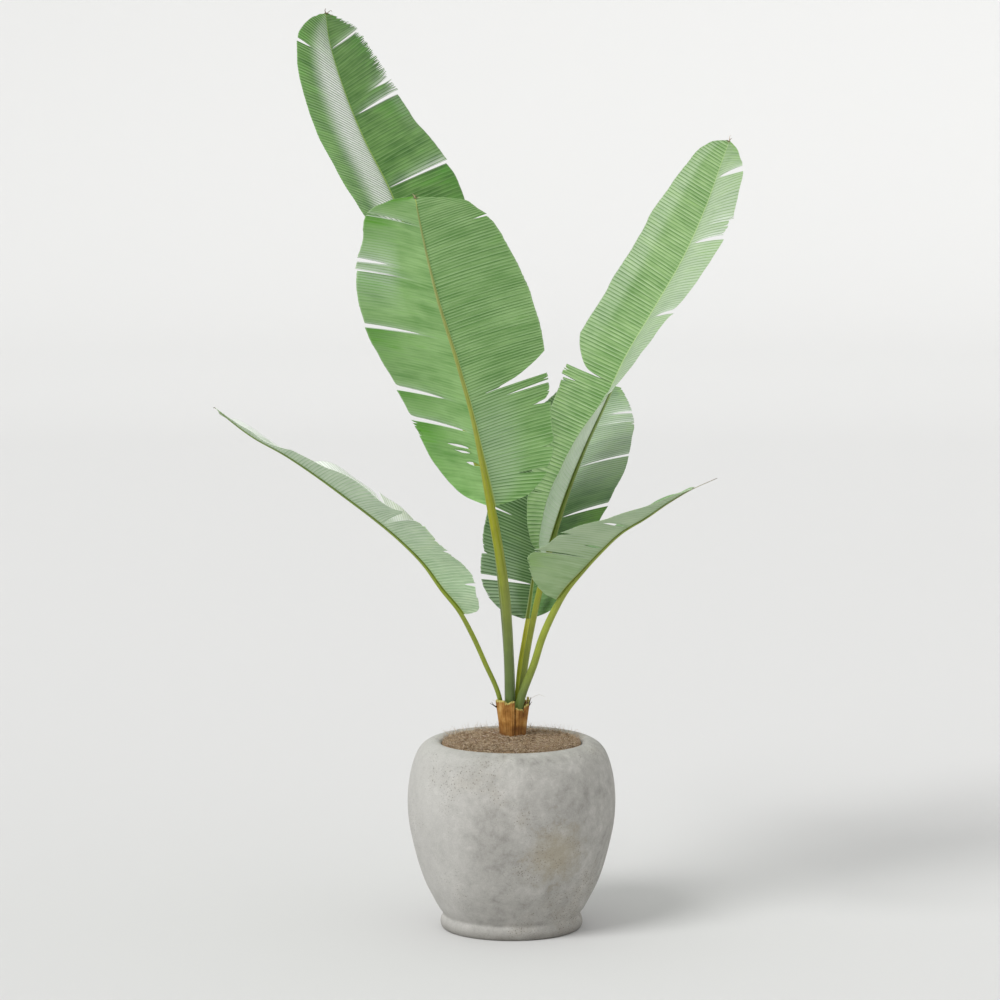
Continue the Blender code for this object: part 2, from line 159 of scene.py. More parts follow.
# %% [markdown]
# ## Camera, floor and light
#
# The plant was looked at from well back with a long lens, so its uprights stay almost parallel.
# A long lens further away could frame it just as well, but the ellipse of the pot's rim fixes
# how far down the camera looks: seven degrees. The studio is a pale floor with no horizon in
# view, a bright sky all round, and a big soft light from the upper left.

# %% The camera
CAMERA_PLACE = (-0.0219222, -7.8530581, 1.7886156)
CAMERA_TILT = math.radians(83.0)
CAMERA_LENS = 150.0

camera = bpy.data.objects.new("camera", bpy.data.cameras.new("camera"))
camera.location = CAMERA_PLACE
camera.rotation_euler = (CAMERA_TILT, 0.0, 0.0)
camera.data.lens = CAMERA_LENS
camera.data.sensor_width = 36.0
camera.data.clip_end = 200.0
bpy.context.scene.collection.objects.link(camera)
bpy.context.scene.camera = camera

# %% The floor and its backdrop
FLOOR_RADIUS = 13.0
SWEEP_RADIUS = 6.0
WALL_TOP = 11.0
FLOOR_SINK = 0.0002
# Matt studio paint: it shows only soft shadow, and no reflection of the pot.
studio_paint, tree, shader = new_material("matt studio paint")
shader.inputs["Base Color"].default_value = linear("#d4d4d3")
shader.inputs["Roughness"].default_value = 0.95
shader.inputs["Specular IOR Level"].default_value = 0.0


def turned_points(outline, sides):
    """The points and faces of an outline of (radius, height) rows that is turned round Z."""
    points, faces = [], []
    for radius, height in outline:
        for side in range(sides):
            angle = 2 * math.pi * side / sides
            points.append((radius * math.cos(angle), radius * math.sin(angle), height))
    for row in range(len(outline) - 1):
        for side in range(sides):
            here, after = row * sides + side, row * sides + (side + 1) % sides
            faces.append((here, after, after + sides, here + sides))
    return points, faces


bend = [math.radians(angle) for angle in range(0, 91, 6)]
outline = [(0.001, 0.0)] + [(FLOOR_RADIUS + SWEEP_RADIUS * math.sin(angle),
                             SWEEP_RADIUS * (1 - math.cos(angle))) for angle in bend]
outline = [(radius, height - FLOOR_SINK) for radius, height in outline]
outline.append((FLOOR_RADIUS + SWEEP_RADIUS, WALL_TOP))
backdrop = new_piece("studio_sweep", *turned_points(outline, 96), [studio_paint])

# %% The lights
# The big window far to the left is a sun lamp with a wide face: it lights floor and wall alike,
# and its shadows have soft edges. The white sky stands for the studio's bounced light.
WINDOW_AZIMUTH = math.radians(224)
WINDOW_HEIGHT = math.radians(42)
window = bpy.data.lights.new("window_light", "SUN")
window.energy = 2.0
window.angle = math.radians(28)
light = bpy.data.objects.new("window_light", window)
towards = Vector((math.cos(WINDOW_AZIMUTH) * math.cos(WINDOW_HEIGHT),
                  math.sin(WINDOW_AZIMUTH) * math.cos(WINDOW_HEIGHT), math.sin(WINDOW_HEIGHT)))
light.rotation_euler = towards.to_track_quat("Z", "Y").to_euler()
light.location = towards * 6
bpy.context.scene.collection.objects.link(light)

# A second soft light, behind the plant, shines on the wall alone.
wall_lamp = bpy.data.lights.new("wall_light", "AREA")
wall_lamp.shape = "DISK"
wall_lamp.size = 8.0
wall_lamp.energy = 75.0
light = bpy.data.objects.new("wall_light", wall_lamp)
light.rotation_euler = Vector((0, -1.0, -0.1)).to_track_quat("Z", "Y").to_euler()
light.location = (0, 8.0, 6.5)
bpy.context.scene.collection.objects.link(light)

world = bpy.data.worlds.new("studio sky")
world.use_nodes = True
world.node_tree.nodes["Background"].inputs["Color"].default_value = linear("#ffffff")
world.node_tree.nodes["Background"].inputs["Strength"].default_value = 0.82
bpy.context.scene.world = world
bpy.context.scene.view_settings.view_transform = "Standard"

# %% [markdown]
# ## The leaves' shape
#
# Each leaf is one stalk that runs on as the blade's midrib. The route of that line, the bearing
# of each half of the blade round it and the widths are the CAD's own, so a blade made here lies
# where the CAD's does. The surface could be sculpted by hand, but a formula can be read at any
# fineness, which the pleats need.

# %% The route and the pattern of a leaf
GAP = 0.0003
WIDTH_AT = (0, 0.02, 0.05, 0.10, 0.20, 0.35, 0.50, 0.65, 0.80, 0.90, 0.96, 0.985, 1)
WIDTH_SHARE = (0.06, 0.34, 0.55, 0.76, 0.92, 0.99, 1.0, 0.95, 0.80, 0.60, 0.38, 0.24, 0.03)
SWEEP_AT = (0, 0.1, 0.3, 0.6, 0.8, 0.9, 1)
SWEEP_SHARE = (-0.15, 0.0, 0.08, 0.15, 0.25, 0.35, 0.30)
BEARING_AT = (0, 0.2, 0.5, 0.8, 1)
# Where each half's own width and its veins' own lead are given: see fit and lead below.
FIT_AT = (0, 0.1, 0.25, 0.4, 0.55, 0.7, 0.82, 0.9, 0.96, 1)
PLAIN = (1,) * len(FIT_AT)
LEVEL = (0,) * len(FIT_AT)
ARCH = 0.10
TIP_RADIUS = 0.0012

# The route of the stalk and midrib in millimetres, the share of it where the blade starts and
# ends, half the blade's width, the stalk's radius at its foot and at the blade, the bearing of the
# pleated half at BEARING_AT and the angle between the halves.
LEAVES = {
    "leaf_back": dict(
        route=((-4, 12, 385), (-5, 13, 437), (-7, 18, 515), (-16, 28, 630), (-39, 55, 798),
               (-87, 90, 949), (-168, 150, 1213), (-238, 210, 1402), (-289, 250, 1501),
               (-329, 290, 1598), (-358, 330, 1696), (-364, 350, 1741)),
        blade=(0.430, 1.0), width=0.175, radii=(0.0080, 0.0065),
        ribbed=(262, 260, 245, 238, 240), opening=(140, 146, 156, 170, 172),
        fit=((1, 1, 1.15, 1.30, 1.24, 1.08, 1.0, 0.88, 0.62, 0.25),
             (1, 1, 1.04, 1.05, 1.05, 1.01, 1.0, 1.0, 0.95, 0.6)),
        lead=(LEVEL, (0, 0, 0.03, 0.06, 0.10, 0.16, 0.22, 0.23, 0.15, 0))),
    "leaf_front": dict(
        route=((-3, -10, 385), (-3, -13, 442), (-5, -26, 521), (-12, -50, 640), (-39, -110, 821),
               (-57, -160, 921), (-74, -205, 1006), (-102, -270, 1115), (-134, -345, 1229),
               (-159, -425, 1345), (-172, -490, 1421)),
        blade=(0.386, 1.0), width=0.175, radii=(0.0095, 0.0075),
        ribbed=(0, 12, 2, -6, -15), opening=(138, 125, 150, 158, 168),
        fit=((1, 0.94, 0.88, 0.91, 0.965, 0.98, 1.0, 1.03, 1.15, 1.0),
             (1, 1.04, 1.06, 1.05, 1.05, 1.03, 0.98, 1.05, 1.05, 0.8)),
        lead=((0, 0, 0, 0, 0, 0.02, 0.08, 0.12, 0.1, 0),
              (-0.1, -0.18, -0.15, -0.07, -0.07, -0.12, -0.28, -0.38, -0.45, -0.4))),
    "leaf_upper_right": dict(
        route=((16, 5, 385), (18, 6, 438), (26, 12, 505), (45, 30, 605), (58, 40, 661),
               (85, 58, 759), (110, 75, 834), (143, 90, 916), (178, 105, 991), (220, 125, 1082),
               (274, 150, 1172), (333, 175, 1273), (378, 200, 1372), (409, 225, 1457),
               (423, 235, 1495)),
        blade=(0.275, 1.0), width=0.175, radii=(0.0062, 0.0055),
        ribbed=(118, 122, 128, 132, 128), opening=(137, 140, 154, 161, 167),
        fit=((1, 1, 1, 0.99, 0.97, 0.96, 0.98, 1.0, 1.0, 0.8),
             (1, 1, 1, 1.15, 1.06, 1.0, 1.03, 1.10, 1.20, 1.0)),
        lead=(LEVEL, (0, 0, 0, -0.05, -0.08, -0.09, -0.15, -0.25, -0.40, -0.4))),
    "leaf_behind": dict(
        route=((10, 17, 385), (12, 18, 436), (18, 32, 502), (26, 48, 548), (36, 78, 605),
               (44, 125, 657), (58, 180, 704), (78, 240, 755), (100, 295, 798), (127, 355, 851),
               (154, 410, 901), (181, 465, 949), (204, 515, 991)),
        blade=(0.250, 1.0), width=0.130, radii=(0.0055, 0.0048),
        ribbed=(175, 190, 200, 198, 195), opening=(152, 136, 126, 128, 135),
        fit=((1, 0.95, 0.93, 0.97, 1, 1, 1, 1, 1, 1),
             (1, 1, 1.0, 1.07, 1.11, 1.08, 1.02, 0.86, 0.78, 0.7)),
        lead=(LEVEL, (0, 0, -0.03, -0.06, -0.1, -0.18, -0.32, -0.38, -0.4, -0.3))),
    "leaf_low_right": dict(
        route=((11, -13, 385), (13, -14, 420), (19, -19, 447), (43, -31, 514), (58, -45, 564),
               (78, -65, 613), (101, -85, 658), (134, -110, 702), (166, -135, 741),
               (207, -165, 784), (247, -190, 812), (290, -220, 846), (331, -245, 874),
               (376, -270, 898)),
        blade=(0.392, 0.925), width=0.125, radii=(0.0085, 0.0050),
        ribbed=(85, 75, 58, 49, 45), opening=(110, 125, 148, 165, 173),
        fit=((1, 1, 1, 1, 1, 0.95, 0.8, 0.6, 0.45, 0.3),
             (0.5, 0.83, 1.13, 1.03, 1.0, 0.86, 0.64, 0.5, 0.5, 0.5)),
        lead=(LEVEL, (-0.1, -0.1, -0.12, -0.18, -0.18, -0.12, -0.1, 0, 0, 0))),
    "leaf_low_left": dict(
        route=((-17, -1, 385), (-22, -2, 440), (-52, -8, 515), (-76, -18, 570), (-100, -30, 616),
               (-132, -45, 658), (-167, -60, 709), (-210, -80, 756), (-261, -100, 802),
               (-307, -120, 840), (-365, -140, 886), (-423, -160, 928), (-480, -180, 963),
               (-550, -200, 1020)),
        blade=(0.272, 1.0), width=0.150, radii=(0.0045, 0.0042),
        ribbed=(-50, -50, -47, -50, -65), opening=(145, 142, 157, 168, 173),
        fit=((1, 1, 1, 1, 0.76, 0.5, 0.6, 0.35, 0.3, 0.3),
             (1, 1, 1.02, 1.22, 1.35, 1.3, 1.1, 0.9, 0.6, 0.4)),
        lead=(LEVEL, LEVEL)),
}


class Leaf:
    """A leaf's route, read as smoothly as the piece that asks for it needs."""

    def __init__(self, route, blade, width, radii, ribbed, opening, fit, lead):
        points = np.array(route, float) / 1000
        steps = np.linalg.norm(np.diff(points, axis=0), axis=1)
        knots = np.concatenate([[0.0], np.cumsum(steps)])
        self.curve = spline(np.linspace(0, knots[-1], 2000), knots, points)
        lengths = np.linalg.norm(np.diff(self.curve, axis=0), axis=1)
        along = np.concatenate([[0.0], np.cumsum(lengths)])
        self.length = along[-1]
        self.along = along / along[-1]
        self.ahead = unit(np.gradient(self.curve, axis=0))
        self.start, self.end = blade
        self.blade_length = self.length * (self.end - self.start)
        self.width, self.radii = width, radii
        self.ribbed, self.opening = ribbed, opening
        self.fit = dict(zip((-1, 1), fit))
        self.lead = dict(zip((-1, 1), lead))

    def radius(self, share):
        """The stalk narrows fast as it enters the blade, and slowly from there on."""
        foot, joint = self.radii
        t = (share - self.start) / (self.end - self.start)
        plain = np.interp(share, [0, self.start, self.end], [foot, joint, TIP_RADIUS])
        return plain * (1 - 0.38 * ramp_up(t, -0.05, 0.30))

    def share(self, t):
        return self.start + t * (self.end - self.start)

    def axes(self, share):
        """The midrib's place at each share, which way it runs, and two directions across it."""
        place = np.stack([np.interp(share, self.along, self.curve[:, k]) for k in range(3)], 1)
        ahead = unit(np.stack([np.interp(share, self.along, self.ahead[:, k]) for k in range(3)], 1))
        right = unit(np.array([1.0, 0, 0]) - ahead[:, :1] * ahead)
        return place, ahead, right, np.cross(ahead, right)

    def bearings(self, t):
        """The bearings of the pleated half, the smooth half and the blade's upper side."""
        ribbed = np.radians(spline(t, BEARING_AT, self.ribbed))
        opening = np.radians(spline(t, BEARING_AT, self.opening))
        return ribbed, ribbed + opening, ribbed + opening / 2

    def half(self, t, side):
        """How wide a half is at t, and how far each metre of vein leads towards the tip."""
        width = self.width * spline(t, WIDTH_AT, WIDTH_SHARE)
        width = width * spline(t, FIT_AT, self.fit[side])
        return width, spline(t, SWEEP_AT, SWEEP_SHARE) + spline(t, FIT_AT, self.lead[side])


def blade_points(leaf, t, share, side):
    """Points on the plain blade, with no pleats, at each t and share of a half."""
    place, ahead, right, back = leaf.axes(leaf.share(t))
    ribbed, smooth, upward = leaf.bearings(t)
    up = np.cos(upward)[:, None] * right + np.sin(upward)[:, None] * back
    bearing = smooth if side > 0 else ribbed
    out = np.cos(bearing)[:, None] * right + np.sin(bearing)[:, None] * back
    width, lead = leaf.half(t, side)
    distance = width * share
    height = ARCH * width * share * (1 - share) + leaf.radius(leaf.share(t)) + GAP
    return (place + out * distance[:, None] + ahead * (lead * distance)[:, None]
            + up * height[:, None])


leaves = {name: Leaf(**row) for name, row in LEAVES.items()}
for name, leaf in leaves.items():
    print(name, "blade", round(leaf.blade_length * 1000), "mm of", round(leaf.length * 1000))

# %% [markdown]
# ## The blades
#
# A blade's veins run from the midrib to the margin, and between them the leaf is pleated like a
# fan, some 6 or 7 mm from fold to fold. Wind and handling tear it along the veins and never across
# them. A bump map alone could draw the pleats, but then the torn edges would be flat. So the
# blade is a grid whose rows follow the veins, four rows to a pleat. A tear is a row that has two
# sets of points, which are drawn apart, and the rows near it give way a little too.

# %% How a blade is torn
PLEAT = 0.0066
ROWS_A_PLEAT = 4
PLEAT_HEIGHT = 0.00055
ACROSS = (0.0, 0.012, 0.03, 0.055, 0.09, 0.14, 0.20, 0.27, 0.34, 0.42, 0.50, 0.58, 0.66, 0.74,
          0.81, 0.87, 0.92, 0.96, 0.985, 1.0)
BLADE_THICKNESS = 0.0005
GROOVE = 0.45
MOST_GIVE = 0.016
LEAST_GIVE = 0.005


def tear(at, inner, width, step=0.002, outer=None, crease=None, worn=0.0, length=0.004,
         low_worn=0.0):
    """A tear along a vein: its t, the share of the half where it opens and, if it stops short of
    the margin, where it closes, how far its lips are apart, how much one stands above the other,
    where a crease leads to it, how much of the upper lip is worn off over which length, and how
    much of the lower lip."""
    return dict(at=at, inner=inner, outer=outer, width=width, step=step,
                crease=inner if crease is None else crease, worn=worn, length=length,
                low_worn=low_worn)


TEARS = {
    "leaf_back": dict(
        pleated=[tear(0.862, 0.70, 0.005)],
        smooth=[tear(0.904, 0.03, 0.0055, 0.003), tear(0.763, 0.64, 0.008, -0.003),
                tear(0.728, 0.10, 0.0075, 0.003), tear(0.535, 0.02, 0.0050, 0.003),
                tear(0.345, 0.30, 0.005, -0.003), tear(0.250, 0.14, 0.005, 0.003)]),
    "leaf_front": dict(
        pleated=[tear(0.334, 0.38, 0.005, 0.003, crease=0.07, worn=0.94, length=0.050),
                 tear(0.306, 0.47, 0.0045), tear(0.254, 0.80, 0.007, worn=0.5, length=0.018),
                 tear(0.135, 0.86, 0.004, worn=0.4, length=0.010),
                 tear(0.082, 0.50, 0.006, 0.003), tear(0.860, 0.80, 0.002)],
        smooth=[tear(0.897, 0.10, 0.002), tear(0.738, 0.60, 0.0065), tear(0.703, 0.45, 0.0085, -0.003),
                tear(0.523, 0.36, 0.0045, 0.003), tear(0.311, 0.36, 0.0060, 0.003, worn=0.06),
                tear(0.221, 0.14, 0.0050, 0.003, worn=0.05), tear(0.166, 0.15, 0.003, outer=0.58),
                tear(0.153, 0.19, 0.0025, outer=0.45), tear(0.122, 0.06, 0.005, outer=0.34)]),
    "leaf_upper_right": dict(
        pleated=[tear(0.401, 0.22, 0.004, 0.003, crease=0.05, worn=0.80, length=0.060),
                 tear(0.373, 0.68, 0.005, 0.003), tear(0.130, 0.50, 0.003)],
        smooth=[tear(0.908, 0.15, 0.0085, 0.003), tear(0.789, 0.55, 0.004, -0.003),
                tear(0.749, 0.18, 0.0065, 0.003), tear(0.553, 0.45, 0.004, 0.003),
                tear(0.345, 0.30, 0.003, -0.003)]),
    "leaf_behind": dict(
        pleated=[tear(0.118, 0.03, 0.0085, 0.003), tear(0.182, 0.90, 0.003, worn=0.6, length=0.03),
                 tear(0.335, 0.60, 0.003)],
        smooth=[tear(0.851, 0.38, 0.0035, 0.002), tear(0.803, 0.12, 0.0045, -0.002),
                tear(0.620, 0.10, 0.0025, 0.002), tear(0.379, 0.22, 0.004, 0.003)]),
    "leaf_low_right": dict(
        pleated=[tear(0.335, 0.48, 0.003)],
        smooth=[tear(0.577, 0.05, 0.0015, outer=0.64), tear(0.386, 0.02, 0.0015, outer=0.34),
                tear(0.302, 0.10, 0.0008, 0.002), tear(0.460, 0.80, 0.002)]),
    "leaf_low_left": dict(
        pleated=[tear(0.380, 0.06, 0.014, 0.004, worn=0.42, length=0.020),
                 tear(0.114, 0.66, 0.005), tear(0.250, 0.86, 0.002)],
        smooth=[tear(0.730, 0.25, 0.006, 0.003), tear(0.345, 0.30, 0.004, -0.003)]),
}

# Where a margin is frayed into short threads: the half, from t, to t, how many, how deep.
FRAYED = {
    "leaf_back": (("smooth", 0.735, 0.900, 46, 0.20), ("smooth", 0.905, 0.985, 16, 0.22)),
    "leaf_front": (("smooth", 0.160, 0.215, 6, 0.08), ("pleated", 0.26, 0.33, 5, 0.09)),
    "leaf_upper_right": (("smooth", 0.75, 0.80, 5, 0.22), ("pleated", 0.34, 0.40, 4, 0.12)),
    "leaf_behind": (("smooth", 0.78, 0.99, 14, 0.08), ("pleated", 0.05, 0.30, 12, 0.06)),
    "leaf_low_right": (("smooth", 0.06, 0.30, 10, 0.05),),
    "leaf_low_left": (("pleated", 0.06, 0.40, 12, 0.06),),
}


def all_tears(name):
    """A leaf's tears on each half, with the small ones along its frayed margins."""
    draw = random.Random(name)
    rows = {half: list(TEARS[name][half]) for half in ("pleated", "smooth")}
    for half, start, end, count, depth in FRAYED[name]:
        for index in range(count):
            inner = 1 - depth * draw.uniform(0.25, 1.0)
            at = start + (end - start) * (index + draw.random()) / count
            rows[half].append(tear(at, inner, draw.uniform(0.0010, 0.0028),
                                   draw.uniform(-0.0015, 0.0015), worn=draw.uniform(0, 0.35)))
    return rows


# %% [markdown]
# ### What the leaf's finish needs to know
#
# A material can't tell by itself how far a point is from the midrib or which way the veins run.
# The mesh carries that as named values: "leaf" is the count of pleats from the blade's base, the distance from
# the midrib and the share of the half's width; "marks" says how much painted light shows through the leaf, how
# much painted sheen lies on it and how dry the leaf is there; "midrib" says how near the pale channel is.

# %% Marks on a blade
def translucent_glow(t, share, side, rows, seed):
    """Painted light showing through the leaf: bright green, strongest at the margin just below each long tear."""
    long_tears = sorted([row["at"] for row in rows if row["inner"] < 0.6 and not row["outer"]])
    edges = np.array([0.0, *long_tears, 1.0])
    left = np.clip(np.searchsorted(edges, t, side="right") - 1, 0, len(edges) - 2)
    u = (t - edges[left]) / (edges[left + 1] - edges[left])
    draw = np.random.default_rng(seed)
    strength = draw.uniform(0.55, 1.0, len(edges))[left]
    glow = strength * u**1.5 * ramp_up(abs(share), 0.15, 1.0)
    return glow if side > 0 else 0.5 * glow * ramp_up(abs(share), 0.6, 1.0)


def tear_lip_highlight(t, share, side, rows):
    """Painted highlight: the whitish strip just above each long tear of the smooth half, towards the margin,
    where the torn lip catches the light.
    """
    if side < 0:
        return 0 * t
    painted_sheen = 0 * t
    for row in rows:
        if row["inner"] < 0.66 and not row["outer"]:
            apart = t - row["at"]
            strip = np.exp(-np.maximum(apart, 0) / 0.010) * (apart > -0.0005)
            painted_sheen = np.maximum(painted_sheen, 0.75 * strip * ramp_up(abs(share), row["inner"] - 0.3, 0.8))
    return painted_sheen


# Where each half carries painted sheen, a whitish reflection of the light: (from t, to t, from share, to share,
# strength).
SHEEN_BANDS = {
    "leaf_back": dict(pleated=(0.10, 0.93, 0.02, 0.58, 1.0), smooth=(0.70, 0.74, 0.8, 1.3, 0.3)),
    "leaf_front": dict(pleated=(0.0, 0.3, 0.0, 0.5, 0.25), smooth=(0.66, 0.78, 0.5, 1.3, 0.45)),
    "leaf_upper_right": dict(pleated=(0.5, 1.0, 0.6, 1.3, 0.25), smooth=(0.0, 0.95, 0.0, 1.1, 0.5)),
    "leaf_behind": dict(pleated=(0.0, 0.2, 0.3, 1.2, 0.15), smooth=(0.5, 0.95, 0.0, 1.2, 0.45)),
    "leaf_low_right": dict(pleated=(0.0, 0.5, 0.0, 1.0, 0.1), smooth=(0.3, 1.1, 0.0, 1.2, 0.5)),
    "leaf_low_left": dict(pleated=(0.3, 1.1, 0.0, 1.2, 0.5), smooth=(0.2, 1.0, 0.3, 1.2, 0.8)),
}


def waxy(t, share, band):
    """Painted sheen, a whitish reflection of the light, that fills one band of a half and fades at its edges."""
    low, high, inner, outer, strength = band
    fade = 0.12
    lengthwise = ramp_up(t, low - fade, low + fade) * (1 - ramp_up(t, high - fade, high + fade))
    across = ramp_up(abs(share), inner - 0.1, inner + 0.12)
    across = across * (1 - ramp_up(abs(share), outer - 0.2, outer + 0.2))
    return strength * lengthwise * across


# %% The blade's surface
def blade(name, leaf, materials):
    """One blade: its grid, torn and pleated, and then given its thickness."""
    pleats = round(leaf.blade_length / PLEAT)
    rows = pleats * ROWS_A_PLEAT + 1
    t = np.linspace(0, 1, rows)
    along = t * leaf.blade_length
    across = np.array([-share for share in reversed(ACROSS[1:])] + list(ACROSS))
    share = np.abs(across)
    seed = sum(map(ord, name))
    tears = all_tears(name)

    # Every point has two copies: one for the row before it, and one for the row after it. They
    # part only at a tear. The rows near a tear give way with it, less and less.
    torn = np.zeros((rows, len(across)), bool)
    shift, lift = np.zeros((2, 2, rows, len(across)))
    reach = np.zeros((2, rows, len(across))) + share
    for half, side in (("pleated", across < 0), ("smooth", across > 0)):
        for row in tears[half]:
            at = round(row["at"] * rows)
            if row["outer"]:
                u = np.clip((share - row["inner"]) / (row["outer"] - row["inner"]), 0, 1)
                opening = np.sin(math.pi * u) * side
                fold = opening
            else:
                opening = np.clip((share - row["inner"]) / (1 - row["inner"]), 0, 1) ** 0.6 * side
                fold = np.clip((share - row["crease"]) / (1 - row["crease"]), 0, 1) ** 0.6 * side
            torn[at] |= opening + fold > 1e-9
            give = max(LEAST_GIVE, min(MOST_GIVE, 3 * row["width"]))
            apart = along - along[at]
            for lip in (-1, 1):
                fade = np.exp(-np.abs(apart) / give) * (apart * lip > 0)
                amount = row["worn"] if lip > 0 else row["low_worn"]
                wear = np.clip(np.abs(apart) / row["length"], 0, 1) ** 0.6
                wear = amount * (1 - wear) * (apart * lip > 0)
                for copy in (0, 1):
                    pull, loss = fade.copy(), wear.copy()
                    if (lip > 0) == (copy == 1):
                        pull[at], loss[at] = 1.0, amount
                    shift[copy] += lip * row["width"] / 2 * pull[:, None] * opening
                    lift[copy] += lip * row["step"] * pull[:, None] * fold
                    reach[copy] -= np.maximum(reach[copy] - row["inner"], 0) * loss[:, None] * side

    place, ahead, right, back = leaf.axes(leaf.share(t))
    ribbed, smooth, upward = leaf.bearings(t)
    up = np.cos(upward)[:, None] * right + np.sin(upward)[:, None] * back
    outs = {-1: np.cos(ribbed)[:, None] * right + np.sin(ribbed)[:, None] * back,
            1: np.cos(smooth)[:, None] * right + np.sin(smooth)[:, None] * back}
    radius = leaf.radius(leaf.share(t))
    phase = along / PLEAT + 0.25 * bump_row(along, seed + 11, 0.045)

    points, values, marks, midrib = np.zeros((4, 2, rows, len(across), 3))
    for copy in range(2):
        for column in range(len(across)):
            side = 1 if across[column] > 0 else -1
            half = "smooth" if side > 0 else "pleated"
            width, lead = leaf.half(t, side)
            ragged = 0.0005 * bump_row(along, seed + 3 * side, 0.006)
            ragged = ragged + 0.0018 * bump_row(along, seed + 5 * side, 0.050)
            out = reach[copy, :, column]
            distance = width * out + ragged * share[column] ** 8
            deep = 1.0 if side < 0 else 0.30
            pleat = PLEAT_HEIGHT * deep * np.sin(2 * np.pi * phase)
            pleat = pleat * min(1, share[column] * 7) * np.clip(t * 8, 0, 1)
            pleat = pleat * (1 - 0.7 * ramp_up(share[column], 0.85, 1.0))
            wave = 0.0030 * out**2 * bump_row(along, seed + 7 * side, 0.110)
            wave = wave + 0.0012 * out**2 * bump_row(along, seed + 9 * side, 0.028)
            dip = GROOVE * radius * np.exp(-(distance / (0.7 * radius)) ** 2)
            height = ARCH * width * out * (1 - out) + pleat + wave - dip
            height = height + lift[copy, :, column] + radius + GAP
            step = lead * distance + shift[copy, :, column]
            points[copy, :, column] = (place + outs[side] * distance[:, None]
                                       + ahead * step[:, None] + up * height[:, None])
            flat = np.full(rows, across[column])
            values[copy, :, column] = np.stack([phase, distance, flat], 1)
            dry = ramp_up(t, 0.993, 1.0) * (1 - ramp_up(distance, 0.002, 0.008))
            # The marks: painted light showing through the leaf, painted sheen with the painted highlights by the
            # tears, and dryness.
            marks[copy, :, column] = np.stack(
                [translucent_glow(t, share[column], side, tears[half], seed + side),
                 waxy(t, share[column], SHEEN_BANDS[name][half])
                 + tear_lip_highlight(t, share[column], side, tears[half]), dry], 1)
            midrib[copy, :, column] = np.stack(
                [distance / radius, t, np.full(rows, 1.0 if side < 0 else 0.0)], 1)

    before = np.arange(rows * len(across)).reshape(rows, len(across))
    after = before.copy()
    after[torn] = before.size + np.arange(torn.sum())

    def packed(grid):
        return np.concatenate([grid[0].reshape(-1, 3), grid[1][torn]])

    near, far = after[:-1], before[1:]
    faces = np.stack([near[:, :-1], far[:, :-1], far[:, 1:], near[:, 1:]], -1).reshape(-1, 4)
    piece = new_piece(f"{name}_blade_surface", packed(points), faces, materials)
    set_values(piece, "leaf", packed(values))
    set_values(piece, "marks", packed(marks))
    set_values(piece, "midrib", packed(midrib))

    shell = piece.modifiers.new("thickness", "SOLIDIFY")
    shell.thickness = BLADE_THICKNESS
    shell.offset = -1.0
    shell.material_offset = 1
    shell.material_offset_rim = 1
    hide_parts(f"{name}_blade")
    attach(piece, "root")
    return piece
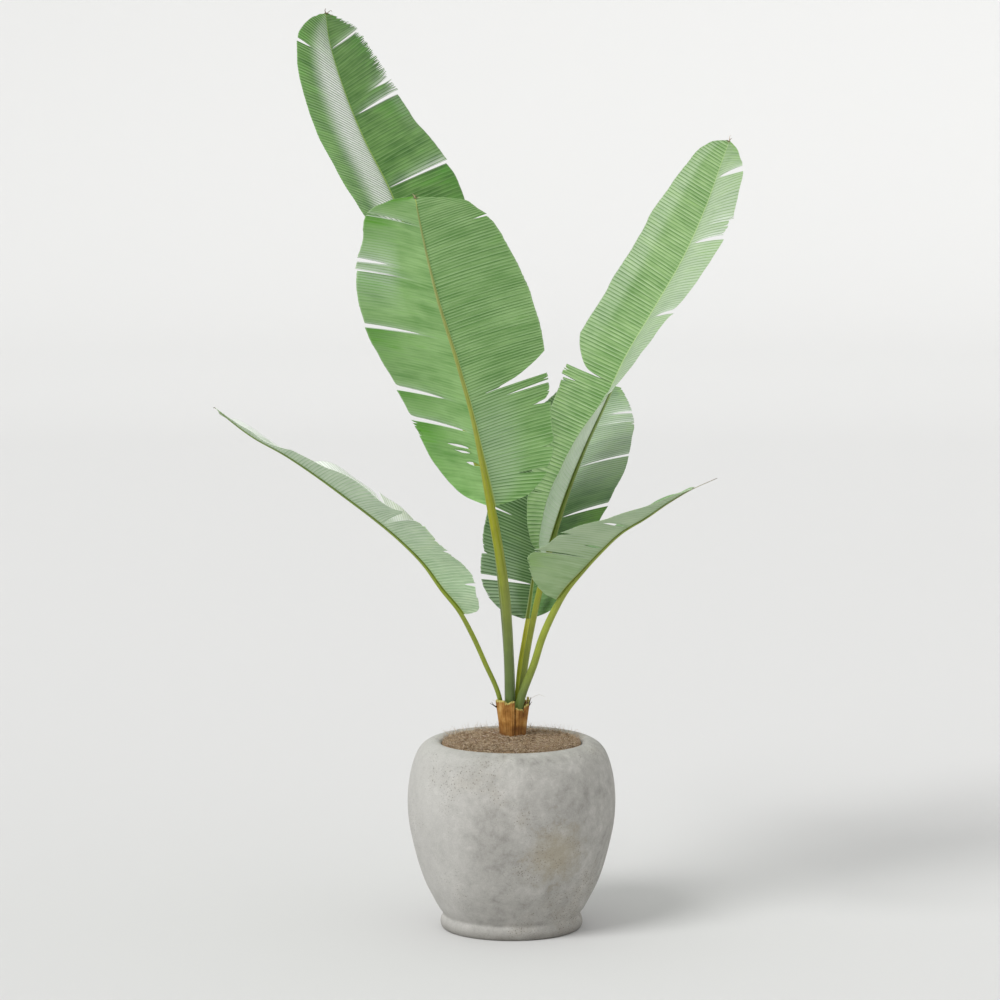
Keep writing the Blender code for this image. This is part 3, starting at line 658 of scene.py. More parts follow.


# %% [markdown]
# ### The leaf's finish
#
# Living leaf is green tissue under a thin wax skin. The eye sees four layers in it: broad patches of older and
# younger green, streaks that run along the veins, a painted highlight and a painted shadow on every fold, and
# here and there a painted whitish sheen, a reflection of the light. Painted light that shows through the leaf
# brightens it near the margins. A painted picture would freeze them at one size; made from noise and from the
# mesh's values, they follow every blade.

# %% Leaf tissue with a wax skin
def leaf_finish(name, dark, light, line, shadow, glow, sheen, channel, lines, painted_light_gain, roughness):
    """Lines gives how strong the painted fold highlights and shadows are on the pleated half and on the smooth
    one, and painted_light_gain how much lighter or darker the pleated half is painted beside the smooth half, as
    painted light and shade."""
    material, tree, shader = new_material(name)

    def values(attribute):
        node = add(tree, "Attribute", attribute_name=attribute)
        return add(tree, "SeparateXYZ", {0: node.outputs["Vector"]}).outputs

    def calculate(operation, first, second=0.0):
        return add(tree, "Math", {0: first, 1: second}, operation=operation).outputs[0]

    def scaled(value, low, high, to_low=0.0, to_high=1.0):
        return add(tree, "MapRange", {"Value": value, "From Min": low, "From Max": high,
                                      "To Min": to_low, "To Max": to_high}).outputs[0]

    def painted(under, over, share_of_over):
        return add(tree, "Mix", {0: share_of_over, 6: under, 7: over}, data_type="RGBA").outputs[2]

    def cloud(vector, scale, detail, roughness=0.5):
        return add(tree, "TexNoise", {"Vector": vector, "Scale": scale, "Detail": detail,
                                      "Roughness": roughness}).outputs["Fac"]

    phase, distance, share = values("leaf")
    glow_at, sheen_at, dry_at = values("marks")
    ratio, along, pleated = values("midrib")
    object_place = add(tree, "TexCoord").outputs["Object"]

    # Two streaks follow the veins: one 25 mm wide and one of 6 mm, both some 80 mm long.
    lengthwise = calculate("MULTIPLY", distance, 12.0)
    wide_at = add(tree, "CombineXYZ", {0: calculate("MULTIPLY", phase, 0.32), 1: lengthwise, 2: share})
    fine_at = add(tree, "CombineXYZ", {0: calculate("MULTIPLY", phase, 1.3), 1: lengthwise, 2: share})
    wide = cloud(wide_at.outputs[0], 1.0, 2.0)
    fine = cloud(fine_at.outputs[0], 1.0, 3.0, 0.6)
    patches = cloud(object_place, 11.0, 3.0)
    tone = calculate("ADD", calculate("ADD", wide, fine), patches)
    green = painted(dark, light, scaled(tone, 1.15, 1.85))

    # Painted light showing through the leaf: bright green near the margins, broken up along the veins.
    broken = calculate("ADD", glow_at, calculate("ADD", calculate("MULTIPLY", wide, 1.1), fine))
    green = painted(green, glow, scaled(broken, 1.22, 1.85, 0.0, 0.92))

    # Painted light and shade on each fold: a thin painted highlight on the crest and a thin painted shadow beside
    # it.
    turn = calculate("MULTIPLY", phase, 2 * math.pi)
    fold_highlight = scaled(calculate("SINE", turn), 0.55, 1.0)
    fold_shade = scaled(calculate("SINE", calculate("ADD", turn, 2.2)), 0.45, 1.0)
    faint = scaled(cloud(fine_at.outputs[0], 0.7, 2.0), 0.32, 0.62, 0.25, 1.0)
    strength = calculate("MULTIPLY", scaled(pleated, 0.0, 1.0, lines[1], lines[0]), faint)
    green = painted(green, shadow, calculate("MULTIPLY", fold_shade, strength))
    green = painted(green, line, calculate("MULTIPLY", fold_highlight, calculate("MULTIPLY", strength, 0.8)))

    # Painted light and shade: the pleated half is scaled lighter or darker by its gain.
    painted_light_scale = scaled(pleated, 0.0, 1.0, 1.0, painted_light_gain)
    green = add(tree, "VectorMath", {0: green, "Scale": painted_light_scale}, operation="SCALE").outputs[0]

    # Painted sheen: a whitish reflection of the light, thin in the valleys of the pleats, so the folds show
    # through it.
    sheen_part = scaled(cloud(fine_at.outputs[0], 2.4, 5.0, 0.75), 0.24, 0.44)
    sheen_lines = scaled(calculate("SINE", calculate("ADD", turn, 2.2)), 0.98, 0.55, 0.10, 1.0)
    painted_sheen = calculate("MULTIPLY", calculate("MULTIPLY", sheen_part, sheen_lines), sheen_at)
    green = painted(green, sheen, painted_sheen)

    # The pale channel over the midrib with a painted highlight along each of its two edges, a thin dry margin and
    # the dry tip.
    green = painted(green, channel, scaled(ratio, 1.05, 0.75))
    channel_edge_highlight = calculate("MULTIPLY", scaled(ratio, 0.62, 0.82), scaled(ratio, 1.15, 0.95))
    green = painted(green, "#cfdca0", calculate("MULTIPLY", channel_edge_highlight, 0.40))
    green = painted(green, line, scaled(calculate("ABSOLUTE", share), 0.975, 0.995, 0.0, 0.35))
    green = painted(green, "#5f4b33", dry_at)

    # Fine veins, a third of a pleat apart, are felt as bump; the real ones are finer still.
    veins = calculate("SINE", calculate("MULTIPLY", phase, 6 * math.pi))
    bump = add(tree, "Bump", {"Height": calculate("ADD", calculate("MULTIPLY", veins, 0.5), fine),
                              "Strength": 0.35, "Distance": 0.0003})
    rough = scaled(patches, 0.3, 0.7, roughness - 0.06, roughness + 0.08)
    join(tree, shader, Base_Color=green, Roughness=rough, Normal=bump.outputs[0])
    shader.inputs["Specular IOR Level"].default_value = 0.30
    return material


# Each leaf's upper side and underside, as seven colours: dark green, light green, the line colour (a painted
# highlight on the fold crests, and the thin margin), the painted shadow in the fold valleys, the painted light
# that shows through the leaf, the painted whitish sheen and the pale channel; then how strong its painted fold
# highlights and shadows are on the pleated half and on the smooth one. Each leaf's colours are also set lighter
# or darker for how much light falls on it, so they are partly painted light.
LEAF_COLOURS = {
    "leaf_back": (("#3a6b1f", "#709b4f", "#8dac76", "#2d5719", "#418d05", "#f2f5f0", "#86a93c"),
                  ("#5e8a46", "#85ac6d", "#a4c590", "#426f2e", "#639d24", "#dfe8dd", "#9dbb58"), (0.8, 0.5)),
    "leaf_front": (("#5a8c3e", "#86ae62", "#a3c088", "#3c6424", "#4c9008", "#e3ebe2", "#a9b83c"),
                   ("#73a457", "#a6cf88", "#c0e0aa", "#467630", "#55a00a", "#e8f0e8", "#b9c857"), (0.85, 0.16)),
    "leaf_upper_right": (("#668f4d", "#96b67a", "#b6cca3", "#4a7035", "#75a444", "#d5dfd0", "#b0ca90"),
                         ("#b3cea4", "#dbeed0", "#ecfee2", "#a3bf96", "#b0ce8a", "#d8e0d6", "#8a9a4c"),
                         (0.85, 0.22)),
    "leaf_behind": (("#447030", "#799d61", "#98b589", "#2d501b", "#709d40", "#dde6da", "#6f7e2c"),
                    ("#6c965a", "#96b783", "#bed6b0", "#527942", "#82b247", "#dde6da", "#7d8a3c"),
                    (0.9, 0.2)),
    "leaf_low_right": (("#5e8c4e", "#92b67d", "#abc898", "#487137", "#80a93f", "#dde6da", "#8d9a40"),
                       ("#86ab6d", "#b3cc9e", "#c6dbb3", "#6c9058", "#87b356", "#bcc9b4", "#8d9a40"),
                       (0.45, 0.12)),
    "leaf_low_left": (("#becfb4", "#dfead9", "#ecf4e8", "#a2b896", "#a1bc6d", "#fdfefc", "#8fa53c"),
                      ("#9fc392", "#cde6be", "#edffe3", "#80a773", "#97bd68", "#ccd6c6", "#8fa53c"),
                      (0.55, 0.3)),
}
# Painted light and shade: the pleated half of leaf_back is painted lighter, and that of the leaf behind darker,
# for how the light falls on them.
PLEATED_PAINTED_LIGHT = {"leaf_back": 1.35, "leaf_front": 1.0, "leaf_upper_right": 1.0, "leaf_behind": 0.72,
                "leaf_low_right": 1.0, "leaf_low_left": 1.0}
for name, leaf in leaves.items():
    upper_colours, under_colours, lines = LEAF_COLOURS[name]
    painted_light_gain = PLEATED_PAINTED_LIGHT[name]
    upper = leaf_finish(f"{name} waxy upper side", *upper_colours, lines, painted_light_gain, roughness=0.40)
    under = leaf_finish(f"{name} matt underside", *under_colours, lines, painted_light_gain, roughness=0.52)
    blade(name, leaf, [under, upper])

# %% [markdown]
# ## The stalks
#
# A stalk is a gutter that is closed at its foot: round below, with a channel along its upper
# side, and the same gutter goes on under the blade as the midrib. A round tube is quicker, but a
# tube has no channel to catch the light. So each stalk is a loft of sections, each with its round
# belly, its two shoulders that meet the blade, and its dip.

# %% The section of a stalk
STALK_STATIONS = 150
SECTION_SIDES = 28
STALK_END = 0.985
# How deep the channel is, as a share of the radius, at these shares of the stalk below the blade.
CHANNEL_AT = (0.0, 0.25, 0.7, 1.0)
CHANNEL_DEPTH = (0.30, 0.70, 0.65, GROOVE)


def stalk(name, leaf, material):
    """The stalk and the midrib under the blade, as one tapered gutter."""
    last = STALK_END if leaf.end == 1.0 else 1.0
    shares = np.linspace(0, last, STALK_STATIONS)
    t = (shares - leaf.start) / (leaf.end - leaf.start)
    place, ahead, right, back = leaf.axes(shares)
    ribbed, smooth, upward = leaf.bearings(np.clip(t, 0, 1))
    up = np.cos(upward)[:, None] * right + np.sin(upward)[:, None] * back
    aside = np.cross(ahead, up)
    rise = np.tan((np.pi - (smooth - ribbed)) / 2) * ramp_up(t, -0.4, 0.0) * (1 - ramp_up(t, 0, 0.04))
    square = 4 - 2 * ramp_up(t, -0.06, 0.02)
    depth = np.where(t < 0, spline(np.clip(shares / leaf.start, 0, 1), CHANNEL_AT, CHANNEL_DEPTH), GROOVE)
    radius = leaf.radius(shares)
    seed = sum(map(ord, name))

    points, values = [], []
    for side in range(SECTION_SIDES):
        angle = 2 * math.pi * side / SECTION_SIDES
        x, y = math.cos(angle), math.sin(angle)
        x, y = np.full(len(shares), x), np.full(len(shares), y)
        if side < SECTION_SIDES / 2:
            grow = (np.abs(x) ** square + np.abs(y) ** square) ** (-1 / square)
            x, y = x * grow, y * grow
            y = np.minimum(y, 0.99 - depth * np.exp(-((x / 0.7) ** 2))) + rise * np.abs(x) * 0.9
        swell = 1 + 0.02 * bump_row(shares * leaf.length, seed + side, 0.05)
        points.append(place + aside * (x * radius * swell)[:, None] + up * (y * radius * swell)[:, None])
        values.append(np.stack([shares, np.full(len(shares), side / SECTION_SIDES), t], 1))
    points = np.stack(points, 1).reshape(-1, 3)
    values = np.stack(values, 1).reshape(-1, 3)
    faces = []
    for row in range(len(shares) - 1):
        for side in range(SECTION_SIDES):
            here = row * SECTION_SIDES + side
            after = row * SECTION_SIDES + (side + 1) % SECTION_SIDES
            faces.append((here, here + SECTION_SIDES, after + SECTION_SIDES, after))
    faces.append(tuple(range(SECTION_SIDES)))
    faces.append(tuple(len(points) - 1 - side for side in range(SECTION_SIDES)))
    piece = new_piece(f"{name}_stalk_surface", points, faces, [material])
    set_values(piece, "stalk", values)
    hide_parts(f"{name}_stalk")
    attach(piece, "root")
    return piece


# %% Stalk skin: smooth and firm, like celery
def stalk_finish(name, colours):
    """Colours are (share of the whole length, colour) stops from the foot to the tip."""
    material, tree, shader = new_material(name)
    values = add(tree, "SeparateXYZ", {0: add(tree, "Attribute", attribute_name="stalk").outputs["Vector"]})
    base = add(tree, "ValToRGB", {0: values.outputs["X"]}, stops=colours)
    # Fibres run the stalk's whole length, about 1.5 mm apart.
    lengthwise = add(tree, "Math", {0: values.outputs["X"], 1: 6.0}, operation="MULTIPLY")
    around = add(tree, "Math", {0: values.outputs["Y"], 1: 26.0}, operation="MULTIPLY")
    fibre_at = add(tree, "CombineXYZ", {0: lengthwise.outputs[0], 1: around.outputs[0]})
    fibres = add(tree, "TexNoise", {"Vector": fibre_at.outputs[0], "Scale": 1.0, "Detail": 3.0})
    place = add(tree, "TexCoord").outputs["Object"]
    blotches = add(tree, "TexNoise", {"Vector": place, "Scale": 45.0, "Detail": 4.0})
    shade = add(tree, "MapRange", {"Value": fibres.outputs["Fac"], "From Min": 0.3, "From Max": 0.7,
                                   "To Min": 0.86, "To Max": 1.12})
    blotch = add(tree, "MapRange", {"Value": blotches.outputs["Fac"], "From Min": 0.3, "From Max": 0.7,
                                    "To Min": 0.90, "To Max": 1.08})
    both = add(tree, "Math", {0: shade.outputs[0], 1: blotch.outputs[0]}, operation="MULTIPLY")
    colour = add(tree, "VectorMath", {0: base.outputs["Color"], "Scale": both.outputs[0]}, operation="SCALE")
    bump = add(tree, "Bump", {"Height": fibres.outputs["Fac"], "Strength": 0.25, "Distance": 0.0004})
    join(tree, shader, Base_Color=colour.outputs[0], Normal=bump.outputs[0])
    shader.inputs["Roughness"].default_value = 0.38
    shader.inputs["Specular IOR Level"].default_value = 0.5
    return material


STALK_COLOURS = {
    "leaf_back": ((0.0, "#4f6330"), (0.18, "#6d7c36"), (0.30, "#8b9532"), (0.45, "#9aa434"), (1.0, "#9db65c")),
    "leaf_front": ((0.0, "#4e6531"), (0.13, "#66783a"), (0.24, "#8c9736"), (0.36, "#a9a92a"),
                   (0.60, "#a3ab48"), (0.85, "#abb56a"), (1.0, "#9fae68")),
    "leaf_upper_right": ((0.0, "#5f7238"), (0.12, "#8b9538"), (0.24, "#9ba02c"), (0.30, "#75862c"),
                         (0.42, "#78893a"), (0.55, "#a5bd78"), (1.0, "#b6cf94")),
    "leaf_behind": ((0.0, "#75852f"), (0.10, "#98a32a"), (0.22, "#a8a81c"), (0.35, "#8f9a34"),
                    (0.8, "#6f7c34"), (1.0, "#75803c")),
    "leaf_low_right": ((0.0, "#4f6a31"), (0.10, "#6b7c3a"), (0.22, "#93a032"), (0.45, "#9aa63c"),
                       (0.75, "#98aa58"), (0.93, "#a9a684"), (1.0, "#9a938a")),
    "leaf_low_left": ((0.0, "#6d7f2a"), (0.15, "#8c9a2c"), (0.35, "#98a834"), (0.60, "#96ac5c"),
                      (1.0, "#9cb070")),
}
for name, leaf in leaves.items():
    stalk(name, leaf, stalk_finish(f"{name} firm green stalk skin", STALK_COLOURS[name]))

# %% [markdown]
# ## The pot
#
# The pot is cast concrete with a rolled rim and a foot ring. A turned outline gives the form; what makes it look
# cast and not machined is that the wall wanders by half a millimetre, and that the surface is mottled with warm
# stains and pinholes. Its left side is painted paler, as painted light, and its foot darker, as painted shade.
# The outline is read from the CAD solid: it is the section of that solid where y is 0.

# %% The pot's outline, from the CAD solid
def section(node):
    """The CAD solid's outline at y = 0, as (radius, height) rows from the bottom's middle up."""
    solid = bmesh.new()
    solid.from_mesh(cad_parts[node].data)
    bmesh.ops.remove_doubles(solid, verts=solid.verts, dist=0.00001)
    wall = [point for point in solid.verts if abs(point.co.y) < 0.00001 and point.co.x > -0.00001]
    here = min(wall, key=lambda point: (point.co.x, point.co.z))
    rows, left = [here], set(wall) - {here}
    while True:
        near = [edge.other_vert(here) for edge in here.link_edges]
        near = [point for point in near if point in left]
        if not near:
            break
        here = near[0]
        left.discard(here)
        rows.append(here)
    outline = [(point.co.x, point.co.z) for point in rows]
    solid.free()
    return outline


POT_ROWS = 300
POT_SIDES = 200
pot_outline = np.array(section("pot"))
steps = np.linalg.norm(np.diff(pot_outline, axis=0), axis=1)
pot_length = np.concatenate([[0.0], np.cumsum(steps)])
fine_outline = spline(np.linspace(0, pot_length[-1], POT_ROWS), pot_length, pot_outline)
fine_outline[:, 0] = np.maximum(fine_outline[:, 0], 0.0004)
fine_outline[:, 1] = np.maximum(fine_outline[:, 1], 0.0)
print("the pot's outline has", len(pot_outline), "points, from", pot_outline[0], "to", pot_outline[-1])

# %% The pot
points, faces = turned_points([tuple(row) for row in fine_outline], POT_SIDES)
points = np.array(points)
angle = np.arctan2(points[:, 1], points[:, 0])
radius = np.hypot(points[:, 0], points[:, 1])
uneven = 0.0005 * np.sin(3 * angle + 9 * points[:, 2]) + 0.0004 * np.sin(5 * angle - 14 * points[:, 2] + 1)
uneven = uneven * np.clip(points[:, 2] / 0.02, 0, 1) * np.clip(radius / 0.13, 0, 1)
points[:, :2] *= (1 + uneven / np.maximum(radius, 0.01))[:, None]
pot = new_piece("concrete_pot", points, faces, [])
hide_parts("pot")
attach(pot, "root")

# %% Cast concrete
# Cement paste poured in a mould and left unsealed: matt, mottled, with warm stains, sand grains and pinholes of
# about a millimetre; painted paler on the lit left side and painted darker at the foot, as painted light and
# shade.
concrete, tree, shader = new_material("cast concrete")
place = add(tree, "TexCoord").outputs["Object"]
clouds = add(tree, "TexNoise", {"Vector": place, "Scale": 13.0, "Detail": 7.0, "Roughness": 0.66,
                                "Distortion": 0.6})
small_clouds = add(tree, "TexNoise", {"Vector": place, "Scale": 55.0, "Detail": 6.0, "Roughness": 0.65})
grit = add(tree, "TexNoise", {"Vector": place, "Scale": 420.0, "Detail": 3.0, "Roughness": 0.7})
tone = add(tree, "Math", {0: clouds.outputs["Fac"], 1: small_clouds.outputs["Fac"]}, operation="ADD")
grey = add(tree, "ValToRGB", {0: add(tree, "MapRange", {"Value": tone.outputs[0], "From Min": 0.70,
                                                       "From Max": 1.30}).outputs[0]},
           stops=[(0.0, "#94928d"), (0.35, "#a6a49f"), (0.6, "#aeaca7"), (1.0, "#bdbbb6")])
stains = add(tree, "TexNoise", {"Vector": place, "Scale": 6.0, "Detail": 7.0, "Roughness": 0.7})
stain_mix = add(tree, "MapRange", {"Value": stains.outputs["Fac"], "From Min": 0.55, "From Max": 0.75,
                                   "To Max": 0.5})
warm = add(tree, "Mix", {"Factor": stain_mix.outputs[0], 6: grey.outputs["Color"], 7: "#968c7a"},
           data_type="RGBA")
# Painted light: the left side, which faces the window light, is painted paler. Painted shade: the foot is painted
# darker towards the floor.
axes = add(tree, "SeparateXYZ", {0: place}).outputs
lit_side_share = add(tree, "MapRange", {"Value": axes["X"], "From Min": -0.02, "From Max": -0.16,
                                "To Min": 0.0, "To Max": 0.55}, interpolation_type="SMOOTHSTEP")
lit_side_paint = add(tree, "Mix", {"Factor": lit_side_share.outputs[0], 6: warm.outputs[2], 7: "#c6c5c1"}, data_type="RGBA")
foot_shade_share = add(tree, "MapRange", {"Value": axes["Z"], "From Min": 0.002, "From Max": 0.026,
                                   "To Min": 0.55, "To Max": 0.0}, interpolation_type="SMOOTHSTEP")
darker_low = add(tree, "Mix", {"Factor": foot_shade_share.outputs[0], 6: lit_side_paint.outputs[2], 7: "#75726b"},
           data_type="RGBA")
stain_at = add(tree, "VectorMath", {0: place, 1: (0.092, -0.18, 0.172)}, operation="DISTANCE")
stain_edge = add(tree, "Math", {0: stain_at.outputs["Value"], 1: small_clouds.outputs["Fac"]},
                 operation="MULTIPLY")
stain = add(tree, "MapRange", {"Value": stain_edge.outputs[0], "From Min": 0.036, "From Max": 0.010,
                               "To Min": 0.0, "To Max": 0.55})
rusty = add(tree, "Mix", {"Factor": stain.outputs[0], 6: darker_low.outputs[2], 7: "#a59a80"},
            data_type="RGBA")
# Groups of dark pits, a few millimetres wide, where sand grains fell out.
pits = add(tree, "TexVoronoi", {"Vector": place, "Scale": 210.0}, feature="F1")
pit_groups = add(tree, "MapRange", {"Value": stains.outputs["Fac"], "From Min": 0.50, "From Max": 0.62})
pit = add(tree, "MapRange", {"Value": pits.outputs["Distance"], "From Min": 0.30, "From Max": 0.12})
pitted = add(tree, "Math", {0: pit.outputs[0], 1: pit_groups.outputs[0]}, operation="MULTIPLY")
dark_pits = add(tree, "Mix", {"Factor": pitted.outputs[0], 6: rusty.outputs[2], 7: "#6f6c64"},
                data_type="RGBA")
speck = add(tree, "MapRange", {"Value": grit.outputs["Fac"], "From Min": 0.30, "From Max": 0.70,
                               "To Min": 0.90, "To Max": 1.08})
colour = add(tree, "VectorMath", {0: dark_pits.outputs[2], "Scale": speck.outputs[0]}, operation="SCALE")
pinholes = add(tree, "TexVoronoi", {"Vector": place, "Scale": 160.0}, feature="F1")
hole = add(tree, "MapRange", {"Value": pinholes.outputs["Distance"], "From Min": 0.06, "From Max": 0.16})
rough_clouds = add(tree, "Math", {0: small_clouds.outputs["Fac"], 1: grit.outputs["Fac"]}, operation="ADD")
height = add(tree, "Math", {0: rough_clouds.outputs[0], 1: hole.outputs[0]}, operation="ADD")
bump = add(tree, "Bump", {"Height": height.outputs[0], "Strength": 0.45, "Distance": 0.0008})
join(tree, shader, Base_Color=colour.outputs[0], Normal=bump.outputs[0])
shader.inputs["Roughness"].default_value = 0.86
shader.inputs["Specular IOR Level"].default_value = 0.3
pot.data.materials.append(concrete)

# %% [markdown]
# ## The mulch
#
# The soil is covered with dry, broken fibre. One bumpy surface would look like cork, because the
# real mulch is thousands of loose bits that cast small shadows. So a dark ground carries short,
# bent fibres that lie every way, and finer hairs that stand up all over and round the rim.

# %% The ground under the mulch
GROUND_RADIUS = 0.1335
GROUND_EDGE = 0.3570
GROUND_TOP = 0.3720


def ground_height(x, y):
    radius = np.hypot(x, y)
    dome = GROUND_EDGE + (GROUND_TOP - GROUND_EDGE) * (1 - (radius / GROUND_RADIUS) ** 2)
    lumps = np.sin(95 * x + 2) * np.cos(110 * y) + np.sin(60 * radius)
    fine = np.sin(310 * x + 1) * np.sin(280 * y + 2)
    return dome + (0.0012 * lumps + 0.0008 * fine) * np.clip((GROUND_RADIUS - radius) / 0.01, 0, 1)


rings, sides = 44, 120
points = [(0.0, 0.0, ground_height(0.0, 0.0))]
for ring in range(1, rings + 1):
    for side in range(sides):
        radius, angle = GROUND_RADIUS * ring / rings, 2 * math.pi * side / sides
        x, y = radius * math.cos(angle), radius * math.sin(angle)
        points.append((x, y, ground_height(x, y)))
faces = [(0, 1 + side, 1 + (side + 1) % sides) for side in range(sides)]
for ring in range(rings - 1):
    for side in range(sides):
        here, after = 1 + ring * sides + side, 1 + ring * sides + (side + 1) % sides
        faces.append((here, here + sides, after + sides, after))
ground = new_piece("mulch_ground", points, faces, [])
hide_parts("soil")
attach(ground, "root")

# %% Fine threads, for the mulch, the stump and the dry tips
def threads(name, rows, materials):
    """Thin bent strands. Each row is (points along it, radius at its foot, tone from 0 to 1)."""
    points, faces, tones = [], [], []
    for line, radius, tone in rows:
        line = np.asarray(line, float)
        ahead = unit(np.gradient(line, axis=0))
        other = np.array([0.3, 0.5, 0.8])
        side = unit(np.cross(ahead, other))
        over = np.cross(ahead, side)
        first = len(points)
        for index in range(len(line)):
            thick = radius * (1 - 0.7 * index / (len(line) - 1))
            for corner in range(3):
                turn = 2 * math.pi * corner / 3
                points.append(line[index] + thick * (math.cos(turn) * side[index] + math.sin(turn) * over[index]))
                tones.append((tone, index / (len(line) - 1), 0.0))
        for index in range(len(line) - 1):
            for corner in range(3):
                here, after = first + 3 * index + corner, first + 3 * index + (corner + 1) % 3
                faces.append((here, after, after + 3, here + 3))
        faces.append((first + 2, first + 1, first))
        end = first + 3 * (len(line) - 1)
        faces.append((end, end + 1, end + 2))
    piece = new_piece(name, points, faces, materials)
    set_values(piece, "thread", tones)
    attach(piece, "root")
    return piece


FIBRE_COUNT = 6500
HAIR_COUNT = 3200
draw = random.Random(11)
fibres = []
while len(fibres) < FIBRE_COUNT:
    radius = (GROUND_RADIUS - 0.003) * math.sqrt(draw.random())
    angle = draw.uniform(0, 2 * math.pi)
    x, y = radius * math.cos(angle), radius * math.sin(angle)
    length, heading = draw.uniform(0.004, 0.013), draw.uniform(0, 2 * math.pi)
    pitch, bend = math.radians(draw.uniform(-12, 38)), draw.uniform(-1.2, 1.2)
    place = np.array([x, y, ground_height(x, y) + draw.uniform(-0.0005, 0.0020)])
    line = [place]
    for step in range(3):
        turn = heading + bend * step / 3
        pace = np.array([math.cos(turn) * math.cos(pitch), math.sin(turn) * math.cos(pitch), math.sin(pitch)])
        line.append(line[-1] + pace * length / 3)
        pitch -= 0.25
    if np.hypot(*line[-1][:2]) < GROUND_RADIUS - 0.001:
        fibres.append((line, draw.uniform(0.00035, 0.00080), draw.uniform(0.08, 1.0)))
mulch = threads("mulch_fibres", fibres, [])

hairs = []
while len(hairs) < HAIR_COUNT:
    radius = 0.132 * draw.uniform(0.10, 1.0) ** 0.35
    angle = draw.uniform(0, 2 * math.pi)
    x, y = radius * math.cos(angle), radius * math.sin(angle)
    lean, turn = math.radians(draw.uniform(5, 65)), draw.uniform(0, 2 * math.pi)
    length = draw.uniform(0.005, 0.024) * (0.6 + 0.5 * (radius / 0.132) ** 3)
    line = [np.array([x, y, ground_height(x, y)])]
    for step in range(4):
        pace = np.array([math.sin(lean) * math.cos(turn), math.sin(lean) * math.sin(turn), math.cos(lean)])
        line.append(line[-1] + pace * length / 4)
        lean += 0.12
        turn += draw.uniform(-0.3, 0.3)
    hairs.append((line, draw.uniform(0.00014, 0.00028), draw.uniform(0.10, 1.0)))
hair_piece = threads("mulch_hairs", hairs, [])

# %% Dry plant fibre
# Shredded bark and husk, air dried: dull, with bits from straw to dark brown.
fibre, tree, shader = new_material("dry shredded fibre")
tone = add(tree, "SeparateXYZ", {0: add(tree, "Attribute", attribute_name="thread").outputs["Vector"]})
colour = add(tree, "ValToRGB", {0: tone.outputs["X"]},
             stops=[(0.0, "#3d2f22"), (0.12, "#7a6148"), (0.35, "#a58c6e"), (0.60, "#c2ac8e"), (0.85, "#dccbb0"), (1.0, "#c9b2a6")])
join(tree, shader, Base_Color=colour.outputs["Color"])
shader.inputs["Roughness"].default_value = 0.8
shader.inputs["Specular IOR Level"].default_value = 0.3
mulch.data.materials.append(fibre)
hair_piece.data.materials.append(fibre)

# Potting soil: dark crumbs of 2 to 5 mm between the fibres.
potting_soil, tree, shader = new_material("crumbly potting soil")
place = add(tree, "TexCoord").outputs["Object"]
crumbs = add(tree, "TexNoise", {"Vector": place, "Scale": 260.0, "Detail": 5.0})
colour = add(tree, "ValToRGB", {0: crumbs.outputs["Fac"]},
             stops=[(0.3, "#6a543e"), (0.5, "#8c7459"), (0.7, "#ad9576")])
bump = add(tree, "Bump", {"Height": crumbs.outputs["Fac"], "Strength": 0.8, "Distance": 0.002})
join(tree, shader, Base_Color=colour.outputs["Color"], Normal=bump.outputs[0])
shader.inputs["Roughness"].default_value = 0.95
ground.data.materials.append(potting_soil)

# %% [markdown]
# ## The stump
#
# The leaves rise from a short stump: the dry, woody feet of old leaf sheaths, wrapped round each
# other, with their ends cut or torn off. Each foot is a curved plate of its own, thick and
# grooved lengthwise, so that the gaps between them are real and dark.

# %% The sheath feet
STUMP_CENTRE = (0.0040, -0.0020)
STUMP_NECK = 0.3720
SHEATH_FLARED = 0.4370
SHEATH_RADII = (0.0226, 0.0308)
SHEATH_FOOT = 0.3500
# Each foot as (bearing in degrees, arc in degrees, top, slant of its end, how far it is set in).
SHEATHS = (
    (-108.0, 46.0, 0.4400, 0.002, -0.0010),
    (-60.0, 46.0, 0.4250, -0.004, 0.0016),
    (-12.0, 62.0, 0.4380, 0.007, -0.0006),
    (72.0, 100.0, 0.4330, -0.006, 0.0014),
    (150.0, 78.0, 0.4340, 0.004, -0.0020),
    (206.0, 62.0, 0.4400, 0.003, -0.0035),
)


def sheath_foot(index, bearing, arc, top, slant, inset, material):
    """One old sheath's foot: a curved plate with grooves lengthwise and a ragged end."""
    columns, rows = 29, 34
    points, values, faces = [], [], []
    seed = 100 + 7 * index
    for row in range(rows):
        for column in range(columns):
            across, up = 2 * column / (columns - 1) - 1, row / (rows - 1)
            ragged = 0.0022 * float(bump_row(column, seed, 2.0)) + 0.0020 * float(bump_row(column, seed + 1, 6.0))
            end = top + slant * across + ragged
            height = SHEATH_FOOT + (end - SHEATH_FOOT) * up
            flare = min(1.05, max(0.0, (height - STUMP_NECK) / (SHEATH_FLARED - STUMP_NECK)))
            groove = 0.0005 * math.sin(across * arc * 0.35 + index) + 0.0004 * float(
                bump_row(column, seed + 2, 1.3))
            radius = SHEATH_RADII[0] + (SHEATH_RADII[1] - SHEATH_RADII[0]) * flare**1.2 - inset + groove
            radius -= 0.0030 * abs(across) ** 4
            angle = math.radians(bearing + across * arc / 2)
            points.append((STUMP_CENTRE[0] + radius * math.cos(angle),
                           STUMP_CENTRE[1] + radius * math.sin(angle), height))
            values.append((across * arc / 60 + index, up, height))
    for row in range(rows - 1):
        for column in range(columns - 1):
            here = row * columns + column
            faces.append((here, here + 1, here + columns + 1, here + columns))
    piece = new_piece(f"sheath_foot_{index + 1}", points, faces, [material])
    set_values(piece, "sheath", values)
    shell = piece.modifiers.new("thickness", "SOLIDIFY")
    shell.thickness = 0.0042
    shell.offset = -1.0
    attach(piece, "root")
    return piece


